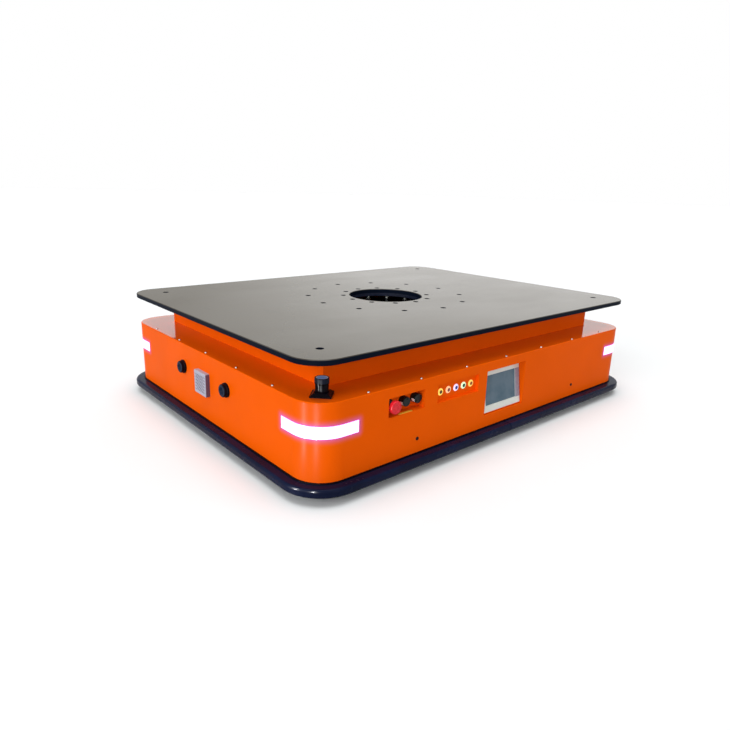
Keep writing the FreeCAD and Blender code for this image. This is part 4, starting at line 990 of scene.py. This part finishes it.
class ROBOT_OT_finish_running_gear(RobotStep, bpy.types.Operator):
    """Finishes the drive wheels with their gearboxes and motors, and the four casters."""

    bl_idname = "robot.finish_running_gear"
    bl_label = "Finish running gear"

    def make(self, scene):
        tyre = rubber("tyre_grey", (0.045, 0.045, 0.048), 0.55)
        hub = cast_metal("hub_aluminium", (0.45, 0.46, 0.48), 0.4)
        for side in SIDES:
            dress(f"drive_tyre_{side}", tyre)
            dress(f"drive_hub_{side}", hub)
            dress(f"gearbox_{side}", cast_metal(f"gearbox_alloy_{side}", (0.36, 0.37, 0.38), 0.45))
            motor = powder_coat(f"motor_black_{side}", (0.015, 0.015, 0.016), 0.4)
            dress(f"drive_motor_{side}", motor)
        tread = rubber("caster_tread", (0.10, 0.03, 0.015), 0.5)
        zinc = turned_metal("caster_zinc", (0.55, 0.56, 0.55), 0.35)
        for corner in CORNERS:
            dress(f"caster_wheel_{corner}", tread)
            dress(f"caster_fork_{corner}", zinc)
        dress("caster_plates", zinc)


class ROBOT_OT_set_stage(RobotStep, bpy.types.Operator):
    """Sets the camera, the pale floor and the soft studio light."""

    bl_idname = "robot.set_stage"
    bl_label = "Set stage"

    SENSOR_WIDTH = 36   # mm
    CLIP_END = 200      # m
    FLOOR_REACH = 60    # m
    STREAK_AIM = 0.02   # how far inside the shell's corner the strip lights aim

    def make(self, scene):
        look = scene.robot_stage
        level = math.cos(look.dip)
        heading = Vector((math.sin(look.azimuth) * level, math.cos(look.azimuth) * level,
                          -math.sin(look.dip)))
        across = Vector((math.cos(look.azimuth), -math.sin(look.azimuth), 0))
        above = across.cross(heading)
        camera_x = across * math.cos(look.roll) + above * math.sin(look.roll)
        camera_y = above * math.cos(look.roll) - across * math.sin(look.roll)
        data = bpy.data.cameras.new("camera")
        data.lens = look.lens
        data.sensor_width = self.SENSOR_WIDTH
        data.shift_x, data.shift_y = look.shift
        data.clip_end = self.CLIP_END
        turn = Matrix((camera_x, camera_y, -heading)).transposed().to_4x4()
        scene.camera = add_object("camera", data, Matrix.Translation(look.camera_place) @ turn)
        scene.view_settings.view_transform = "Standard"

        finish = Finish("floor_pale", look.floor_bounce, 0.6, Specular_IOR_Level=0.0)
        shown = self.background_rays(finish.tree)
        pale = finish.mix(finish.span(finish.noise(0.8), 0.35, 0.65), tuple(look.floor_colour),
                          shade(look.floor_colour, 0.99))
        finish.tint(shown, pale)
        mesh = bpy.data.meshes.new("floor")
        form = bmesh.new()
        bmesh.ops.create_grid(form, x_segments=8, y_segments=8, size=self.FLOOR_REACH)
        form.to_mesh(mesh)
        form.free()
        mesh.materials.append(finish.material)
        floor = add_object("floor", mesh)

        world = bpy.data.worlds.new("studio")
        world.use_nodes = True
        scene.world = world
        tree = world.node_tree
        sky = tree.nodes["Background"]
        sky.inputs["Color"].default_value = (1, 1, 1, 1)
        strength = tree.nodes.new("ShaderNodeMapRange")
        strength.inputs["To Min"].default_value = look.sky_level
        strength.inputs["To Max"].default_value = 1.0
        tree.links.new(self.background_rays(tree), strength.inputs["Value"])
        tree.links.new(strength.outputs["Result"], sky.inputs["Strength"])

        for name, energy, direction in (("key", look.key_level, look.key_from),
                                        ("fill", look.fill_level, look.fill_from),
                                        ("overhead", look.overhead_level, (0, 0, 1))):
            lamp = self.add_lamp(name, "SUN", energy, frame_towards(direction))
            lamp.data.angle = look.lamp_size

        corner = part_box("side_shell")[0]
        for name, place in (("streak_left", look.streak_left), ("streak_right", look.streak_right)):
            stand = Vector((*place, look.streak_size[1] / 2))
            away = stand - Vector((corner.x + self.STREAK_AIM, corner.y + self.STREAK_AIM, stand.z))
            turn = Matrix.Translation(stand) @ frame_towards(away)
            lamp = self.add_lamp(name, "AREA", look.streak_power, turn)
            lamp.data.shape = "RECTANGLE"
            lamp.data.size, lamp.data.size_y = look.streak_size
            lamp.visible_diffuse = False
            lamp.visible_camera = False

    @staticmethod
    def add_lamp(name, kind, energy, turn):
        data = bpy.data.lights.new(name, kind)
        data.energy = energy
        return add_object(name, data, turn)

    @staticmethod
    def background_rays(tree):
        """1 for the rays that show the background: seen, mirrored or through glass."""
        path = tree.nodes.new("ShaderNodeLightPath")
        shown = path.outputs["Is Camera Ray"]
        for ray in ("Is Glossy Ray", "Is Transmission Ray"):
            either = tree.nodes.new("ShaderNodeMath")
            either.operation = "MAXIMUM"
            tree.links.new(shown, either.inputs[0])
            tree.links.new(path.outputs[ray], either.inputs[1])
            shown = either.outputs[0]
        return shown


# ---- add-on
SETTINGS = (("robot_paint", PaintSettings), ("robot_plate", PlateSettings), ("robot_lamps", LampSettings),
            ("robot_screws", ScrewSettings), ("robot_front", FrontSettings), ("robot_panel", PanelSettings),
            ("robot_stage", StageSettings))
STEPS = (ROBOT_OT_set_stage, ROBOT_OT_paint_covers, ROBOT_OT_finish_plate, ROBOT_OT_hang_connectors,
         ROBOT_OT_finish_base, ROBOT_OT_light_corners, ROBOT_OT_fit_cover_screws,
         ROBOT_OT_finish_scanners, ROBOT_OT_finish_front, ROBOT_OT_fit_stop_button,
         ROBOT_OT_fit_selectors, ROBOT_OT_fit_push_buttons, ROBOT_OT_fit_operator_screen,
         ROBOT_OT_finish_chassis, ROBOT_OT_finish_running_gear)


class ROBOT_PT_looks(bpy.types.Panel):
    """Lists the steps in the 3D view's sidebar."""

    bl_idname = "ROBOT_PT_looks"
    bl_label = "Robot looks"
    bl_space_type = "VIEW_3D"
    bl_region_type = "UI"
    bl_category = "Robot"

    def draw(self, context):
        for step in STEPS:
            self.layout.operator(step.bl_idname)


def register():
    for _, settings in SETTINGS:
        bpy.utils.register_class(settings)
    for name, settings in SETTINGS:
        setattr(bpy.types.Scene, name, PointerProperty(type=settings))
    for step in STEPS:
        bpy.utils.register_class(step)
    bpy.utils.register_class(ROBOT_PT_looks)


def unregister():
    bpy.utils.unregister_class(ROBOT_PT_looks)
    for step in reversed(STEPS):
        bpy.utils.unregister_class(step)
    for name, settings in reversed(SETTINGS):
        delattr(bpy.types.Scene, name)
        bpy.utils.unregister_class(settings)


def main():
    register()
    for step in STEPS:
        group, name = step.bl_idname.split(".")
        getattr(getattr(bpy.ops, group), name)()


if __name__ == "__main__":
    main()
